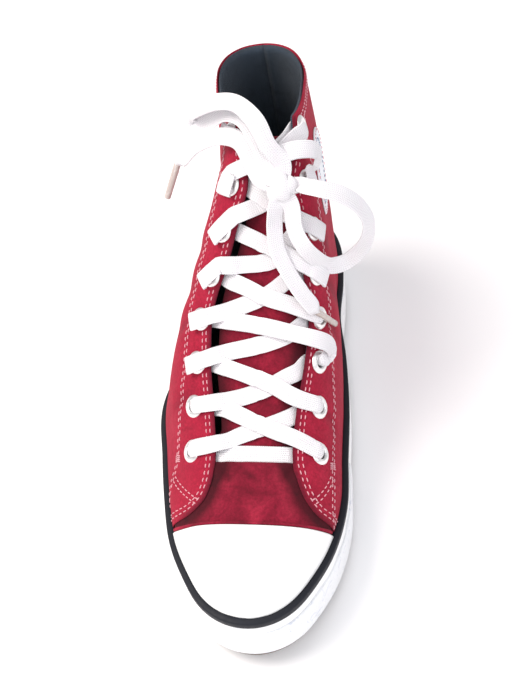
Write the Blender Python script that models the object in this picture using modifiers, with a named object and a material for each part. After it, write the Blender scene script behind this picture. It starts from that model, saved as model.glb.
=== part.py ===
# High-top lace-up sneaker, right shoe, as a maker's assembly of separate solids.
# Metres, +Z up. The shoe stands on z = 0 with its toe towards -Y, its heel towards +Y
# and its inner (medial) side towards +X. The origin is under the middle of the sole.

import math

import bmesh
import bpy
import numpy as np
from mathutils import Matrix, Vector

MM = 0.001

# Driving dimensions
LAST_LENGTH = 260 * MM          # upper's outer face, toe to heel, where it meets the sole
FOXING = 4 * MM                 # thickness of the rubber wall round the upper
WALL = 2.2 * MM                 # suede and lining together
GAP = 0.35 * MM                 # clearance between curved pieces
COLLAR_FRONT = 165.5 * MM       # station of the collar's front corner on the ridge
COLLAR_BACK_HEIGHT = 158 * MM
BACK_LEAN = 12 * MM             # how far the back seam leans forward at the collar
ROUNDNESS = 2.8                 # exponent of the superellipse across the foot
BALL_STATION = 114 * MM         # widest part of the forefoot
SHAFT_TAPER = 0.15              # share of its width that the shaft loses on its way up

OUTSOLE = 4.2 * MM
TOE_SPRING = 8 * MM
SPRING_LENGTH = 75 * MM
ARCH_RISE = 1.2 * MM
BED_HEIGHT = 12 * MM            # top of the midsole under the insole
INSOLE = 3.2 * MM
STRIPE = 3.8 * MM               # height of the dark band on the foxing's top edge

EYELET_ROWS = 8
EYELET_PITCH = 19.8 * MM
FIRST_EYELET = 66 * MM          # ridge station of the first pair
EYELET_INSET = 9.3 * MM         # stay's edge to eyelet centre
EYELET_HOLE = 2.6 * MM          # radii of the metal ring
EYELET_BARREL = 3.3 * MM
EYELET_FLANGE = 5.5 * MM
THROAT_START = 60.5 * MM        # ridge station of the vamp's rear edge
THROAT_CORNER = 4 * MM          # rounding between that edge and the stays

CAP_LENGTH = 34.6 * MM          # ridge station of the toe cap's rear edge
CAP_THICKNESS = 1.6 * MM
TONGUE = 2.6 * MM

LACE_WIDTH = 7.6 * MM
LACE_THICKNESS = 1.3 * MM
LACE_SECTIONS = 9               # cross-sections along each flat strand
CORD_RADIUS = 2 * MM            # plain tube that stands for the loose lace
CORD_SPACING = 9 * MM           # distance between the tube's points
AGLET_RADIUS = 1.6 * MM

KNOT_ROW = 5.95                 # the bow's knot: eyelet row, distance from the ridge, lift
KNOT_ARC = 5.5 * MM
KNOT_LIFT = 7.5 * MM
KNOT_HALF = (7.5 * MM, 8.5 * MM, 5 * MM)    # across, along and off the throat
KNOT_CLEARANCE = 1.1 * MM       # to the middle of a lace's end, whose rim comes closer

# The bow's loose lace from the knot outwards, in world millimetres. Angles say where each
# meets the knot's rim: 0 inner side, 90 up the throat, 180 outer side, 270 towards the toe.
LOOP_INNER = [(33.5, 9.5, 151), (40, 6.5, 151.5), (48, 8, 147.5), (55, 10, 140), (59, 12, 128.5),
              (56, 13, 114), (48.5, 12, 106), (41.5, 7.5, 107.5), (35.5, 2, 117), (31, 1.2, 124.5),
              (27.5, 4, 132)]
LOOP_INNER_ANGLES = (5, 302)
LOOP_OUTER = [(17.8, 19.5, 165), (13, 23.5, 175), (4.5, 32, 178), (-4, 37.5, 176), (-14, 41.5, 171),
              (-20.5, 44, 165.5), (-20, 43.5, 160.5), (-12.5, 42, 163), (-3, 39, 169),
              (6, 32, 170.5), (13, 22.5, 166)]
LOOP_OUTER_ANGLES = (88, 128)
END_INNER = [(18.8, 5, 135), (19.5, -0.8, 125), (23.8, -6, 116.5), (29.5, -10.2, 107.5), (35.2, -12, 98.5)]
END_INNER_ANGLE = 258
AGLET_INNER = ((35.6, -12, 97.6), (42.6, -4.6, 82))
END_OUTER = [(9.5, 20, 157.5), (4.5, 26.8, 162.4), (-4, 33.5, 161), (-12, 36.6, 157.8),
             (-20, 37.5, 153), (-27.5, 36, 146.2)]
END_OUTER_ANGLE = 164
AGLET_OUTER = ((-27.9, 35.7, 145.6), (-34.5, 29.6, 131))

# The last: a row for each section, in millimetres from the toe along the foot.
# lateral, medial: half-widths at the feather line; ridge: height of the top line;
# sole_x, ridge_x: how far the section's foot and its top sit towards the inner side.
COLUMNS = ("station", "lateral", "medial", "ridge", "sole_x", "ridge_x")
SECTIONS = np.array([
    (0, 0, 0, 21, 3, 3),
    (8, 17.5, 17.5, 39, 2.5, 3),
    (19, 24.5, 25.5, 46, 1.5, 3.5),
    (38, 33.5, 34, 53, 0.5, 3.6),
    (62, 40, 38, 61, 0, 2.8),
    (86, 45.5, 37, 73, 0, 2.3),
    (118, 51, 36, 104, 0, 4.5),
    (150, 44, 33, 147, 0, 9.2),
    (180, 31.5, 28.5, 184, 0, 8),
    (208, 28.5, 28.5, 228, 0, 3),
    (234, 27.5, 26, 261, 0, 0),
    (252, 19, 18, 285, 0, -3),
    (260, 0, 0, 296, 0, -4),
]) * MM
LAST = dict(zip(COLUMNS, SECTIONS.T))

# Half-width of the throat at some eyelet rows, on each side of the ridge (mm)
THROAT_ROWS = np.array([0, 3, 5, 6, 7.5])
THROAT_GAP = {-1: np.array([22.5, 19.5, 11.5, 8.5, 11.5]) * MM, 1: np.array([21, 20.5, 14, 9, 12.5]) * MM}

# Height of the white foxing's top edge: (station, height) in mm
FOXING_LINE = np.array([(0, 33.5), (86, 26.8), (166, 28), (260, 31)]).T * MM

OUTLINE_STEPS = 32              # points on each side of a closed outline
MIDDLE_Y = LAST_LENGTH / 2      # station that lies over y = 0


def through_table(x, xs, ys):
    """A smooth curve through the table's points: cubic Hermite, three-point slopes."""
    step = np.diff(xs)
    rise = np.diff(ys) / step
    slope = np.empty_like(ys)
    slope[1:-1] = (rise[:-1] * step[1:] + rise[1:] * step[:-1]) / (step[:-1] + step[1:])
    slope[0] = 1.5 * rise[0] - 0.5 * slope[1]
    slope[-1] = 1.5 * rise[-1] - 0.5 * slope[-2]
    i = np.clip(np.searchsorted(xs, x) - 1, 0, len(xs) - 2)
    t = (x - xs[i]) / step[i]
    return ((1 + 2 * t) * (1 - t) ** 2 * ys[i] + t * (1 - t) ** 2 * step[i] * slope[i]
            + t * t * (3 - 2 * t) * ys[i + 1] + t * t * (t - 1) * step[i] * slope[i + 1])


def end_angle(station):
    """Station as an angle from 0 at the toe to pi at the heel, so that both ends come out round."""
    return np.arccos(np.clip(1 - 2 * station / LAST_LENGTH, -1, 1))


def last(column, station):
    return through_table(end_angle(station), end_angle(LAST["station"]), LAST[column])


def spring(station):
    """Rise of the sole towards the toe, and the shallow arch under the waist."""
    toe = TOE_SPRING * np.clip(1 - (station + FOXING) / SPRING_LENGTH, 0, 1) ** 2
    waist = np.clip((station - 135 * MM) / (65 * MM), 0, 1)
    return toe + ARCH_RISE * np.sin(math.pi * waist) ** 2


def feather_height(station):
    return BED_HEIGHT + 1 * MM + spring(station)


def back_station(height):
    """Where the back seam stands at a height: upright at the heel, leaning in above it."""
    return LAST_LENGTH - BACK_LEAN * np.clip((height - 60 * MM) / (95 * MM), 0, 2) ** 1.5


def side_x(station, height, side):
    """The last's surface seen from the side: x at a station and height, side +1 inner, -1 outer.

    The half-width at the feather line is rounded over towards the ridge by a superellipse,
    and the rear of each level is shifted so that it closes on the leaning back seam.
    """
    back = back_station(height)
    rear = np.clip((station - BALL_STATION) / (back - BALL_STATION), 0, 1)
    rear = rear * rear * (3 - 2 * rear)
    shifted = np.clip(station + (LAST_LENGTH - back) * rear, 0, LAST_LENGTH)
    foot = feather_height(station)
    rise = np.clip((height - foot) / (last("ridge", station) - foot), 0, 1)
    rounding = (1 - rise ** ROUNDNESS) ** (1 / ROUNDNESS)
    taper = 1 - SHAFT_TAPER * np.clip((height - 40 * MM) / (110 * MM), 0, 1)
    half = last("medial" if side > 0 else "lateral", shifted) * rounding * taper
    middle = last("sole_x", shifted) * (1 - rise) + last("ridge_x", shifted) * rise
    return middle + side * half


def foot_of_line(share):
    """End of a girth line: along the feather line to the heel, then up the back seam."""
    heel_share = 0.72
    along = np.clip(share / heel_share, 0, 1) * LAST_LENGTH
    up = np.clip((share - heel_share) / (1 - heel_share), 0, 1)
    heel_foot = feather_height(LAST_LENGTH)
    seam_height = heel_foot + (COLLAR_BACK_HEIGHT - heel_foot) * up
    on_seam = share > heel_share
    return (np.where(on_seam, back_station(seam_height), along),
            np.where(on_seam, seam_height, feather_height(along)))


def girth_line(ridge, side, count=90):
    """Points of one girth line, from the ridge down to the feather line or the back seam.

    In side view it is straight, upright at the toe and turning level at the collar.
    """
    turn = ridge / COLLAR_FRONT
    share = 0.72 * ridge / LAST_LENGTH + (1 - 0.72 * COLLAR_FRONT / LAST_LENGTH) * turn ** 2
    end_station, end_height = foot_of_line(min(share, 1.0))
    t = np.linspace(0, 1, count) ** 2
    station = ridge + (end_station - ridge) * t
    height = last("ridge", ridge) + (end_height - last("ridge", ridge)) * t
    x = side_x(station, height, side)
    x[0] = last("ridge_x", ridge)
    return np.column_stack([x, station, height])


def lengths(points):
    return np.concatenate([[0], np.cumsum(np.linalg.norm(np.diff(points, axis=0), axis=1))])


def along(points, distance):
    """Points at given distances along a polyline."""
    run = lengths(points)
    return np.column_stack([np.interp(distance, run, points[:, k]) for k in range(3)])


def place(points):
    """From (x, station, height) to world coordinates, with the sole's box centred on x = 0."""
    return np.asarray(points) - np.array([SOLE_MIDDLE_X, MIDDLE_Y, 0])


def ridge_profile():
    station = np.linspace(0, 200 * MM, 801)
    return np.column_stack([station * 0, station, last("ridge", station)])


def row_station(row):
    """Ridge station of an eyelet row; rows are evenly spaced along the ridge."""
    profile = ridge_profile()
    run = lengths(profile)
    first = np.interp(FIRST_EYELET, profile[:, 1], run)
    return np.interp(first + np.asarray(row) * EYELET_PITCH, run, profile[:, 1])


def station_row(ridge):
    rows = np.linspace(-1, EYELET_ROWS, 181)
    return np.interp(ridge, row_station(rows), rows)


def throat_gap(ridge, side):
    """Distance from the ridge to the throat's edge; a rounded bottom opens it at the vamp."""
    gap = np.interp(station_row(ridge), THROAT_ROWS, THROAT_GAP[side])
    opening = np.clip((ridge - THROAT_START) / THROAT_CORNER, 0, 1)
    return gap * np.sqrt(1 - (1 - opening) ** 2)


def on_last(ridge, arc, lift=0.0):
    """World point and outward normal at a signed distance from the ridge, lifted off the last."""
    step = 0.5 * MM

    def bare(r, a):
        return along(girth_line(r, 1 if a >= 0 else -1), [abs(a)])[0]

    across = bare(ridge, arc + step) - bare(ridge, arc - step)
    forward = bare(ridge + step, arc) - bare(ridge - step, arc)
    normal = np.cross(across, forward)
    normal /= np.linalg.norm(normal)
    return place(bare(ridge, arc)) + normal * lift, normal


def make_object(name, points, faces, collection, material=None, closed=True):
    """Mesh object; a closed one gets its faces turned outwards, an open one keeps its winding."""
    mesh = bpy.data.meshes.new(name)
    faces = [[v for n, v in enumerate(face) if v not in face[:n]] for face in faces]
    mesh.from_pydata([tuple(p) for p in points], [], [face for face in faces if len(face) > 2])
    work = bmesh.new()
    work.from_mesh(mesh)
    bmesh.ops.remove_doubles(work, verts=work.verts, dist=0.02 * MM)
    if closed:
        bmesh.ops.recalc_face_normals(work, faces=work.faces)
        if work.calc_volume(signed=True) < 0:
            bmesh.ops.reverse_faces(work, faces=work.faces)
    work.to_mesh(mesh)
    work.free()
    piece = bpy.data.objects.new(name, mesh)
    collection.objects.link(piece)
    if material:
        mesh.materials.append(material)
        mesh.shade_smooth()
        mesh.set_sharp_from_angle(angle=math.radians(40))
    return piece


def make_material(name, rgb, roughness, metallic=0.0):
    material = bpy.data.materials.new(name)
    material.use_nodes = True
    shader = material.node_tree.nodes["Principled BSDF"]
    shader.inputs["Base Color"].default_value = (*rgb, 1)
    shader.inputs["Roughness"].default_value = roughness
    shader.inputs["Metallic"].default_value = metallic
    return material


def outline(height, offset):
    """Closed outline of the last at a height (a value, or a function of the station).

    It runs from the toe along the inner side to the heel and back along the outer side,
    and is moved outwards in plan by the offset.
    """
    level = height if callable(height) else (lambda station: np.full_like(station, height))
    profile = ridge_profile()
    start = np.interp(float(level(np.zeros(1))[0]), profile[:, 2], profile[:, 1])
    end = back_station(float(level(np.full(1, LAST_LENGTH))[0]))
    angle = np.linspace(0, math.pi, OUTLINE_STEPS + 1)
    station = start + (end - start) * (1 - np.cos(angle)) / 2
    inner, outer = (np.column_stack([side_x(station, level(station), side), station, level(station)])
                    for side in (1, -1))
    for end_point in (0, -1):
        inner[end_point, 0] = outer[end_point, 0] = (inner[end_point, 0] + outer[end_point, 0]) / 2
    loop = np.vstack([inner, outer[-2:0:-1]])
    tangent = np.roll(loop, -1, axis=0) - np.roll(loop, 1, axis=0)
    normal = np.column_stack([tangent[:, 1], -tangent[:, 0], np.zeros(len(loop))])
    normal /= np.linalg.norm(normal, axis=1)[:, None]
    return loop + normal * offset


def loft(name, loops, collection, material, ring=False):
    """Skin a stack of outlines; unless it is a ring, both ends are closed from side to side."""
    count = len(loops[0])
    points = np.vstack(loops)
    pairs = list(zip(range(len(loops)), range(1, len(loops))))
    if ring:
        pairs.append((len(loops) - 1, 0))
    faces = [(a * count + i, a * count + (i + 1) % count, b * count + (i + 1) % count, b * count + i)
             for a, b in pairs for i in range(count)]
    if not ring:
        for level in (0, len(loops) - 1):
            base = level * count
            faces += [(base + i, base + i + 1, base + (count - i - 1) % count, base + (count - i) % count)
                      for i in range(OUTLINE_STEPS)]
    return make_object(name, place(points), faces, collection, material)


def line_stations(first, last_station, spacing):
    """Ridge stations of girth lines whose two ends both advance by about the spacing."""
    ridge = np.linspace(first, last_station, 400)
    tops = np.array([girth_line(r, 1, 3)[0] for r in ridge])
    feet = np.array([girth_line(r, 1, 3)[-1] for r in ridge])
    run = (lengths(tops) + lengths(feet)) / 2
    return np.interp(np.linspace(0, run[-1], round(run[-1] / spacing) + 1), run, ridge)


def shell(name, lines, start, end, across, collection, material=None, lift=0.0, crowding=1.0):
    """Open skin of the last between two distances from the ridge on every girth line.

    start(ridge, side) and end(ridge, side) are distances, end None being the line's own end;
    a crowding over 1 sets the points closer together towards the start.
    """
    rows = {}
    for side in (1, -1):
        grid = []
        for ridge in lines:
            line = girth_line(ridge, side)
            last_distance = lengths(line)[-1]
            stop = last_distance if end is None else min(end(ridge, side), last_distance)
            share = np.linspace(0, 1, across + 1) ** crowding
            grid.append(along(line, start(ridge, side) + (stop - start(ridge, side)) * share))
        rows[side] = place(np.array(grid))
        if lift:
            forward = np.gradient(rows[side], axis=0)
            sideways = np.gradient(rows[side], axis=1)
            normal = side * np.cross(sideways, forward)
            normal /= np.maximum(np.linalg.norm(normal, axis=2), 1e-12)[..., None]
            rows[side] = rows[side] + normal * lift
    if lift:
        middle = (rows[1][:, 0] + rows[-1][:, 0]) / 2
        joined = np.array([start(ridge, 1) == 0 for ridge in lines])
        for side in (1, -1):
            rows[side][joined, 0] = middle[joined]
    points = np.vstack([rows[side].reshape(-1, 3) for side in (1, -1)])
    wide = across + 1
    half = len(lines) * wide
    faces = []
    for base in (0, half):
        for i in range(len(lines) - 1):
            for j in range(across):
                a = base + i * wide + j
                quad = (a, a + 1, a + wide + 1, a + wide)
                faces.append(quad if base == 0 else quad[::-1])
    return make_object(name, points, faces, collection, material, closed=False)


def add_wall(piece, thickness):
    """Thickness inwards from the skin."""
    wall = piece.modifiers.new("wall", "SOLIDIFY")
    wall.thickness = thickness
    wall.offset = -1
    wall.use_even_offset = True


def cut(piece, cutter, operation="DIFFERENCE"):
    step = piece.modifiers.new(operation.lower(), "BOOLEAN")
    step.operation = operation
    step.solver = "EXACT"
    step.object = cutter
    cutter.hide_render = True
    cutter.display_type = "WIRE"


def finish_cutter(name, work, cutters):
    mesh = bpy.data.meshes.new(name)
    work.to_mesh(mesh)
    work.free()
    cutter = bpy.data.objects.new(name, mesh)
    cutters.objects.link(cutter)
    return cutter


def eyelet_frames():
    """Place and axis of each eyelet, from the toe up, outer and inner side."""
    frames = []
    for row in range(EYELET_ROWS):
        ridge = float(row_station(row))
        for side in (-1, 1):
            arc = side * (float(throat_gap(ridge, side)) + EYELET_INSET)
            point, normal = on_last(ridge, arc)
            turn = Vector(normal).to_track_quat("Z", "Y").to_matrix().to_4x4()
            frames.append((row, side, Matrix.Translation(Vector(point)) @ turn))
    return frames


def make_upper(collection, cutters, material):
    lines = line_stations(0, COLLAR_FRONT, 7.6 * MM)
    throat_lines = THROAT_START + THROAT_CORNER * np.array([0, 0.2, 0.55, 1])
    lines = np.sort(np.append(lines[np.abs(lines[:, None] - throat_lines).min(1) > 2 * MM], throat_lines))
    upper = shell("upper", lines, throat_gap, None, 10, collection, material, crowding=1.35)
    add_wall(upper, WALL)
    work = bmesh.new()
    for _row, _side, frame in eyelet_frames():
        bmesh.ops.create_cone(work, cap_ends=True, segments=8, radius1=EYELET_BARREL + 2 * GAP,
                              radius2=EYELET_BARREL + 2 * GAP, depth=9 * MM, matrix=frame)
    cut(upper, finish_cutter("eyelet_drill", work, cutters))


def make_eyelets(collection, material):
    """Pressed ring: a domed flange on the stay and a barrel through it, turned about its axis."""
    under = GAP
    profile = [(EYELET_HOLE, under + 0.9 * MM), (EYELET_FLANGE, under),
               (EYELET_BARREL, under), (EYELET_BARREL, -WALL), (EYELET_HOLE, -WALL)]
    count = 8
    points = [(r * math.cos(2 * math.pi * k / count), r * math.sin(2 * math.pi * k / count), z)
              for k in range(count) for r, z in profile]
    size = len(profile)
    faces = [(k * size + i, k * size + (i + 1) % size,
              (k + 1) % count * size + (i + 1) % size, (k + 1) % count * size + i)
             for k in range(count) for i in range(size)]
    ring = make_object("eyelet_pattern", points, faces, collection, material)
    mesh = ring.data
    bpy.data.objects.remove(ring)
    for row, side, frame in eyelet_frames():
        name = f"eyelet_{'inner' if side > 0 else 'outer'}_{row + 1}"
        eyelet = bpy.data.objects.new(name, mesh)
        eyelet.matrix_world = frame
        collection.objects.link(eyelet)


def foxing_top(station):
    return through_table(station, *FOXING_LINE)


def stripe_top(station):
    return foxing_top(station) + GAP + STRIPE


def plan_loop(height_of, offset):
    """The sole's plan outline, moved outwards by the offset and laid at a height along the foot."""
    loop = outline(BED_HEIGHT + 1 * MM, offset)
    loop[:, 2] = height_of(np.clip(loop[:, 1], 0, LAST_LENGTH))
    return loop


def make_sole(collection, cutters, rubber, white, dark):
    def risen(height):
        return lambda station: spring(station) + height

    def inside(share):
        return outline(lambda s: spring(s) + BED_HEIGHT + (foxing_top(s) - spring(s) - BED_HEIGHT) * share,
                       (1 + share) * GAP)

    def stripe_foot(station):
        return foxing_top(station) + GAP

    edge = 1.2 * MM
    outsole = loft("outsole", [plan_loop(spring, FOXING - edge), plan_loop(risen(edge), FOXING),
                               plan_loop(risen(OUTSOLE), FOXING)], collection, rubber)
    cut(outsole, make_tread(cutters))
    loft("midsole_foxing", [plan_loop(risen(OUTSOLE + GAP), FOXING), plan_loop(foxing_top, FOXING),
                            inside(1), inside(0.5), inside(0)], collection, white)
    loft("foxing_stripe", [plan_loop(stripe_foot, FOXING), plan_loop(stripe_top, FOXING),
                           outline(stripe_top, 2.6 * GAP), outline(stripe_foot, 2.6 * GAP)],
         collection, dark, ring=True)


def make_tread(cutters):
    """Grooves across the forefoot and the heel that leave the outsole's main lugs."""
    groove = 3.2 * MM
    depth = 1.8 * MM
    border = 9 * MM
    work = bmesh.new()
    pitch = 11 * MM
    forefoot = np.arange(24 * MM, 130 * MM, pitch)
    heel = np.arange(196 * MM, 250 * MM, pitch)
    for station in np.append(forefoot, heel):
        left = side_x(np.array([station]), np.array([feather_height(station)]), -1)[0] + border
        right = side_x(np.array([station]), np.array([feather_height(station)]), 1)[0] - border
        middle = place([(left + right) / 2, station, float(spring(station))])
        slope = float(spring(station + 1 * MM) - spring(station - 1 * MM)) / (2 * MM)
        frame = (Matrix.Translation(Vector(middle)) @ Matrix.Rotation(math.atan(slope), 4, "X")
                 @ Matrix.Diagonal((right - left, groove, 2 * depth, 1)))
        bmesh.ops.create_cube(work, size=1, matrix=frame)
    return finish_cutter("tread_cutter", work, cutters)


def make_insole(collection, material):
    foot = BED_HEIGHT + GAP
    inset = -(WALL + 2.4 * MM)
    loops = [plan_loop(lambda station: spring(station) + height, inset) for height in (foot, foot + INSOLE)]
    loft("insole", loops, collection, material)


def make_toe_cap(collection, cutters, material):
    """Cut between two forms of the last's forepart, the cap's outer and inner faces."""
    lines = line_stations(0, 58 * MM, 4.6 * MM)
    across = 10

    def form(name, lift, home, look=None):
        grid = {}
        for side in (1, -1):
            rows = place(np.array([along(girth_line(r, side), np.linspace(0, lengths(girth_line(r, side))[-1],
                                                                         across + 1)) for r in lines]))
            normal = side * np.cross(np.gradient(rows, axis=1), np.gradient(rows, axis=0))
            normal[0] = (0, -1, 0)
            normal /= np.linalg.norm(normal, axis=2)[..., None]
            grid[side] = rows + normal * lift
        ridge = (grid[1][:, 0] + grid[-1][:, 0]) / 2
        section = np.concatenate([grid[-1][:, :0:-1], ridge[:, None], grid[1][:, 1:]], axis=1)
        wide = section.shape[1]
        faces = [(i * wide + j, i * wide + j + 1, (i + 1) * wide + j + 1, (i + 1) * wide + j)
                 for i in range(len(lines) - 1) for j in range(wide - 1)]
        faces += [(i * wide, (i + 1) * wide, (i + 1) * wide + wide - 1, i * wide + wide - 1)
                  for i in range(len(lines) - 1)]
        rear = (len(lines) - 1) * wide
        faces.append(tuple(rear + j for j in range(wide)))
        return make_object(name, section.reshape(-1, 3), faces, home, look)

    cap = form("toe_cap", GAP + CAP_THICKNESS, collection, material)
    foot = [plan_loop(lambda station: station * 0 - 5 * MM, 8 * MM),
            plan_loop(lambda station: stripe_top(station) + GAP, 8 * MM)]
    cut(cap, loft("toe_cap_foot_cutter", foot, cutters, None))
    room = 120 * MM
    rear_tilt = math.radians(22)
    top = place([0, CAP_LENGTH, float(last("ridge", CAP_LENGTH))])
    back = (Matrix.Translation(Vector(top)) @ Matrix.Rotation(rear_tilt, 4, "X")
            @ Matrix.Translation((0, room / 2, 0)))
    work = bmesh.new()
    bmesh.ops.create_cube(work, size=room, matrix=back)
    cut(cap, finish_cutter("toe_cap_rear_cutter", work, cutters))
    cut(cap, form("toe_cap_inner_form", GAP, cutters))


def make_tongue(collection, material):
    """Padded flap under the stays, from below the vamp's edge to the collar's front."""
    root, tip = 52 * MM, 162 * MM
    lines = line_stations(root, tip, 9.6 * MM)

    def half_width(ridge, _side):
        grow = (ridge - root) / (tip - root)
        corner = np.clip((tip - ridge) / (8 * MM), 0, 1)
        return (29 - 3 * grow) * MM * (0.72 + 0.28 * math.sqrt(1 - (1 - corner) ** 2))

    tongue = shell("tongue", lines, lambda ridge, side: 0.0, half_width, 5, collection, material,
                   lift=-(WALL + 3 * GAP))
    add_wall(tongue, TONGUE)


def lace_strip(name, route, collection, material=None):
    """Flat lace along the last: a route of (eyelet row, distance from the ridge, lift), in mm."""
    knots = np.arange(len(route))
    share = np.linspace(0, knots[-1], LACE_SECTIONS)
    rows, arcs, lifts = (through_table(share, knots, np.array(column, dtype=float)) for column in zip(*route))
    laid = [on_last(float(row_station(row)), arc * MM, lift * MM)
            for row, arc, lift in zip(rows, arcs, lifts)]
    middle, normal = (np.array(values) for values in zip(*laid))
    tangent = np.gradient(middle, axis=0)
    across = np.cross(tangent, normal)
    across /= np.linalg.norm(across, axis=1)[:, None]
    corners = [middle + across * LACE_WIDTH / 2 * a + normal * LACE_THICKNESS / 2 * n
               for a, n in ((-1, -1), (1, -1), (1, 1), (-1, 1))]
    faces = [(4 * i + k, 4 * i + (k + 1) % 4, 4 * i + 4 + (k + 1) % 4, 4 * i + 4 + k)
             for i in range(LACE_SECTIONS - 1) for k in range(4)]
    end = 4 * (LACE_SECTIONS - 1)
    faces += [(0, 1, 2, 3), (end, end + 1, end + 2, end + 3)]
    return make_object(name, np.stack(corners, axis=1).reshape(-1, 3), faces, collection, material)


def strand_route(row, side, lift):
    """From beside an eyelet over the stay's edge, across the tongue, to the other stay's edge one row up.

    The lowest strands ride over the bar, and the highest stop behind the knot.
    """
    near = float(throat_gap(row_station(row), side)) / MM
    far = float(throat_gap(row_station(row + 1), -side)) / MM
    on_stay = 1.2
    on_tongue = lift - 2
    lean = min(1, far / 15)
    route = [(row, side * (near + 3), on_stay),
             (row + 0.08, side * (near - 1.5), on_stay)]
    if row == EYELET_ROWS - 2:
        return route + [(row + 0.3, side * (near - 6), 0.2 + lift), (row + 0.5, -side * 2, lift - 1.1)]
    leaving = (0.32, near - 9, 0.4) if row == 0 else (0.24, near - 7, -0.55)
    return route + [(row + leaving[0], side * leaving[1], leaving[2]),
                    (row + 0.5, side * 0.1 * near, on_tongue),
                    (row + 0.5 + 0.18 * lean, -side * 0.45 * lean * far, on_tongue),
                    (row + 0.5 + 0.33 * lean, -side * (far - 5.4 + 2.2 * lean), on_tongue)]


def make_laces(collection, cutters, material):
    """A bar at the lowest eyelets, a joined crossing between each row and the next, and two top strands."""
    start, end = (float(throat_gap(row_station(0), side)) / MM - 5 for side in (-1, 1))
    lace_strip("lace_bar", [(0, -start, -2), (0, 0, -2), (0, end, -2)], collection, material)
    for row in range(EYELET_ROWS - 1):
        name = f"lace_crossing_{row + 1}"
        crossing = lace_strip(name, strand_route(row, 1, 0.8), collection, material)
        under = lace_strip(name + "_under", strand_route(row, -1, 0), cutters)
        cut(crossing, under, "UNION")
    top = EYELET_ROWS - 1
    for side, name, middle in ((-1, "lace_top_outer", 4), (1, "lace_top_inner", 4)):
        gap = float(throat_gap(row_station(top), side)) / MM
        route = [(top, side * (gap + 3), 1.2), (top - 0.08, side * (gap - 1.5), 1.3),
                 (top - 0.28, side * (gap - 5.5), 1.5), (top - 0.5, middle + side * 4.4, 2),
                 (top - 0.68, middle + side * 4.2, 2.9)]
        lace_strip(name, route, collection, material)


def knot_frame():
    """Centre and axes of the knot: across the throat, up along it, and off it."""
    centre, normal = on_last(float(row_station(KNOT_ROW)), KNOT_ARC, KNOT_LIFT)
    ahead, _normal = on_last(float(row_station(KNOT_ROW + 0.3)), KNOT_ARC, KNOT_LIFT)
    upwards = ahead - centre
    upwards -= normal * np.dot(upwards, normal)
    upwards /= np.linalg.norm(upwards)
    return centre, np.cross(upwards, normal), upwards, normal


def knot_rim(angle):
    """Where a lace leaves the knot, just clear of it."""
    centre, across, upwards, _normal = knot_frame()
    turn = math.radians(angle)
    return (centre + across * (KNOT_HALF[0] + KNOT_CLEARANCE) * math.cos(turn)
            + upwards * (KNOT_HALF[1] + KNOT_CLEARANCE) * math.sin(turn))


def make_cord(name, route, collection, material):
    """Tube along a smooth curve through the route."""
    route = np.array(route, dtype=float)
    knots = np.arange(len(route))
    share = np.linspace(0, knots[-1], 40 * len(route))
    curve = np.column_stack([through_table(share, knots, column) for column in route.T])
    run = lengths(curve)
    points = along(curve, np.linspace(0, run[-1], round(run[-1] / CORD_SPACING) + 1))
    data = bpy.data.curves.new(name, "CURVE")
    data.dimensions = "3D"
    data.bevel_depth = CORD_RADIUS
    data.bevel_resolution = 2
    data.use_fill_caps = True
    spline = data.splines.new("POLY")
    spline.points.add(len(points) - 1)
    spline.points.foreach_set("co", np.column_stack([points, np.ones(len(points))]).ravel())
    data.materials.append(material)
    cord = bpy.data.objects.new(name, data)
    collection.objects.link(cord)


def make_aglet(name, ends, collection, material):
    start, stop = (Vector(end) * MM for end in ends)
    turn = (stop - start).to_track_quat("Z", "Y").to_matrix().to_4x4()
    frame = Matrix.Translation((start + stop) / 2) @ turn
    work = bmesh.new()
    bmesh.ops.create_cone(work, cap_ends=True, segments=8, radius1=AGLET_RADIUS, radius2=AGLET_RADIUS,
                          depth=(stop - start).length, matrix=frame)
    mesh = bpy.data.meshes.new(name)
    work.to_mesh(mesh)
    work.free()
    mesh.materials.append(material)
    collection.objects.link(bpy.data.objects.new(name, mesh))


def make_bow(collection, material, plastic):
    centre, across, upwards, normal = knot_frame()
    axes = Matrix([list(column) for column in zip(across, upwards, normal)]).to_4x4()
    frame = Matrix.Translation(Vector(centre)) @ axes @ Matrix.Diagonal((*KNOT_HALF, 1))
    work = bmesh.new()
    bmesh.ops.create_icosphere(work, subdivisions=2, radius=1, matrix=frame)
    mesh = bpy.data.meshes.new("lace_knot")
    work.to_mesh(mesh)
    work.free()
    mesh.materials.append(material)
    collection.objects.link(bpy.data.objects.new("lace_knot", mesh))
    routes = {
        "lace_loop_inner": (LOOP_INNER, LOOP_INNER_ANGLES),
        "lace_loop_outer": (LOOP_OUTER, LOOP_OUTER_ANGLES),
        "lace_end_inner": (END_INNER, (END_INNER_ANGLE,)),
        "lace_end_outer": (END_OUTER, (END_OUTER_ANGLE,)),
    }
    for name, (points, angles) in routes.items():
        rims = [tuple(knot_rim(angle)) for angle in angles]
        route = rims[:1] + [tuple(Vector(point) * MM) for point in points] + rims[1:]
        make_cord(name, route, collection, material)
    make_aglet("lace_aglet_inner", AGLET_INNER, collection, plastic)
    make_aglet("lace_aglet_outer", AGLET_OUTER, collection, plastic)


def sole_middle_x():
    loop = outline(BED_HEIGHT + 1 * MM, FOXING)
    return (loop[:, 0].min() + loop[:, 0].max()) / 2


def clear_scene():
    for old in list(bpy.data.objects):
        bpy.data.objects.remove(old)


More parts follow.
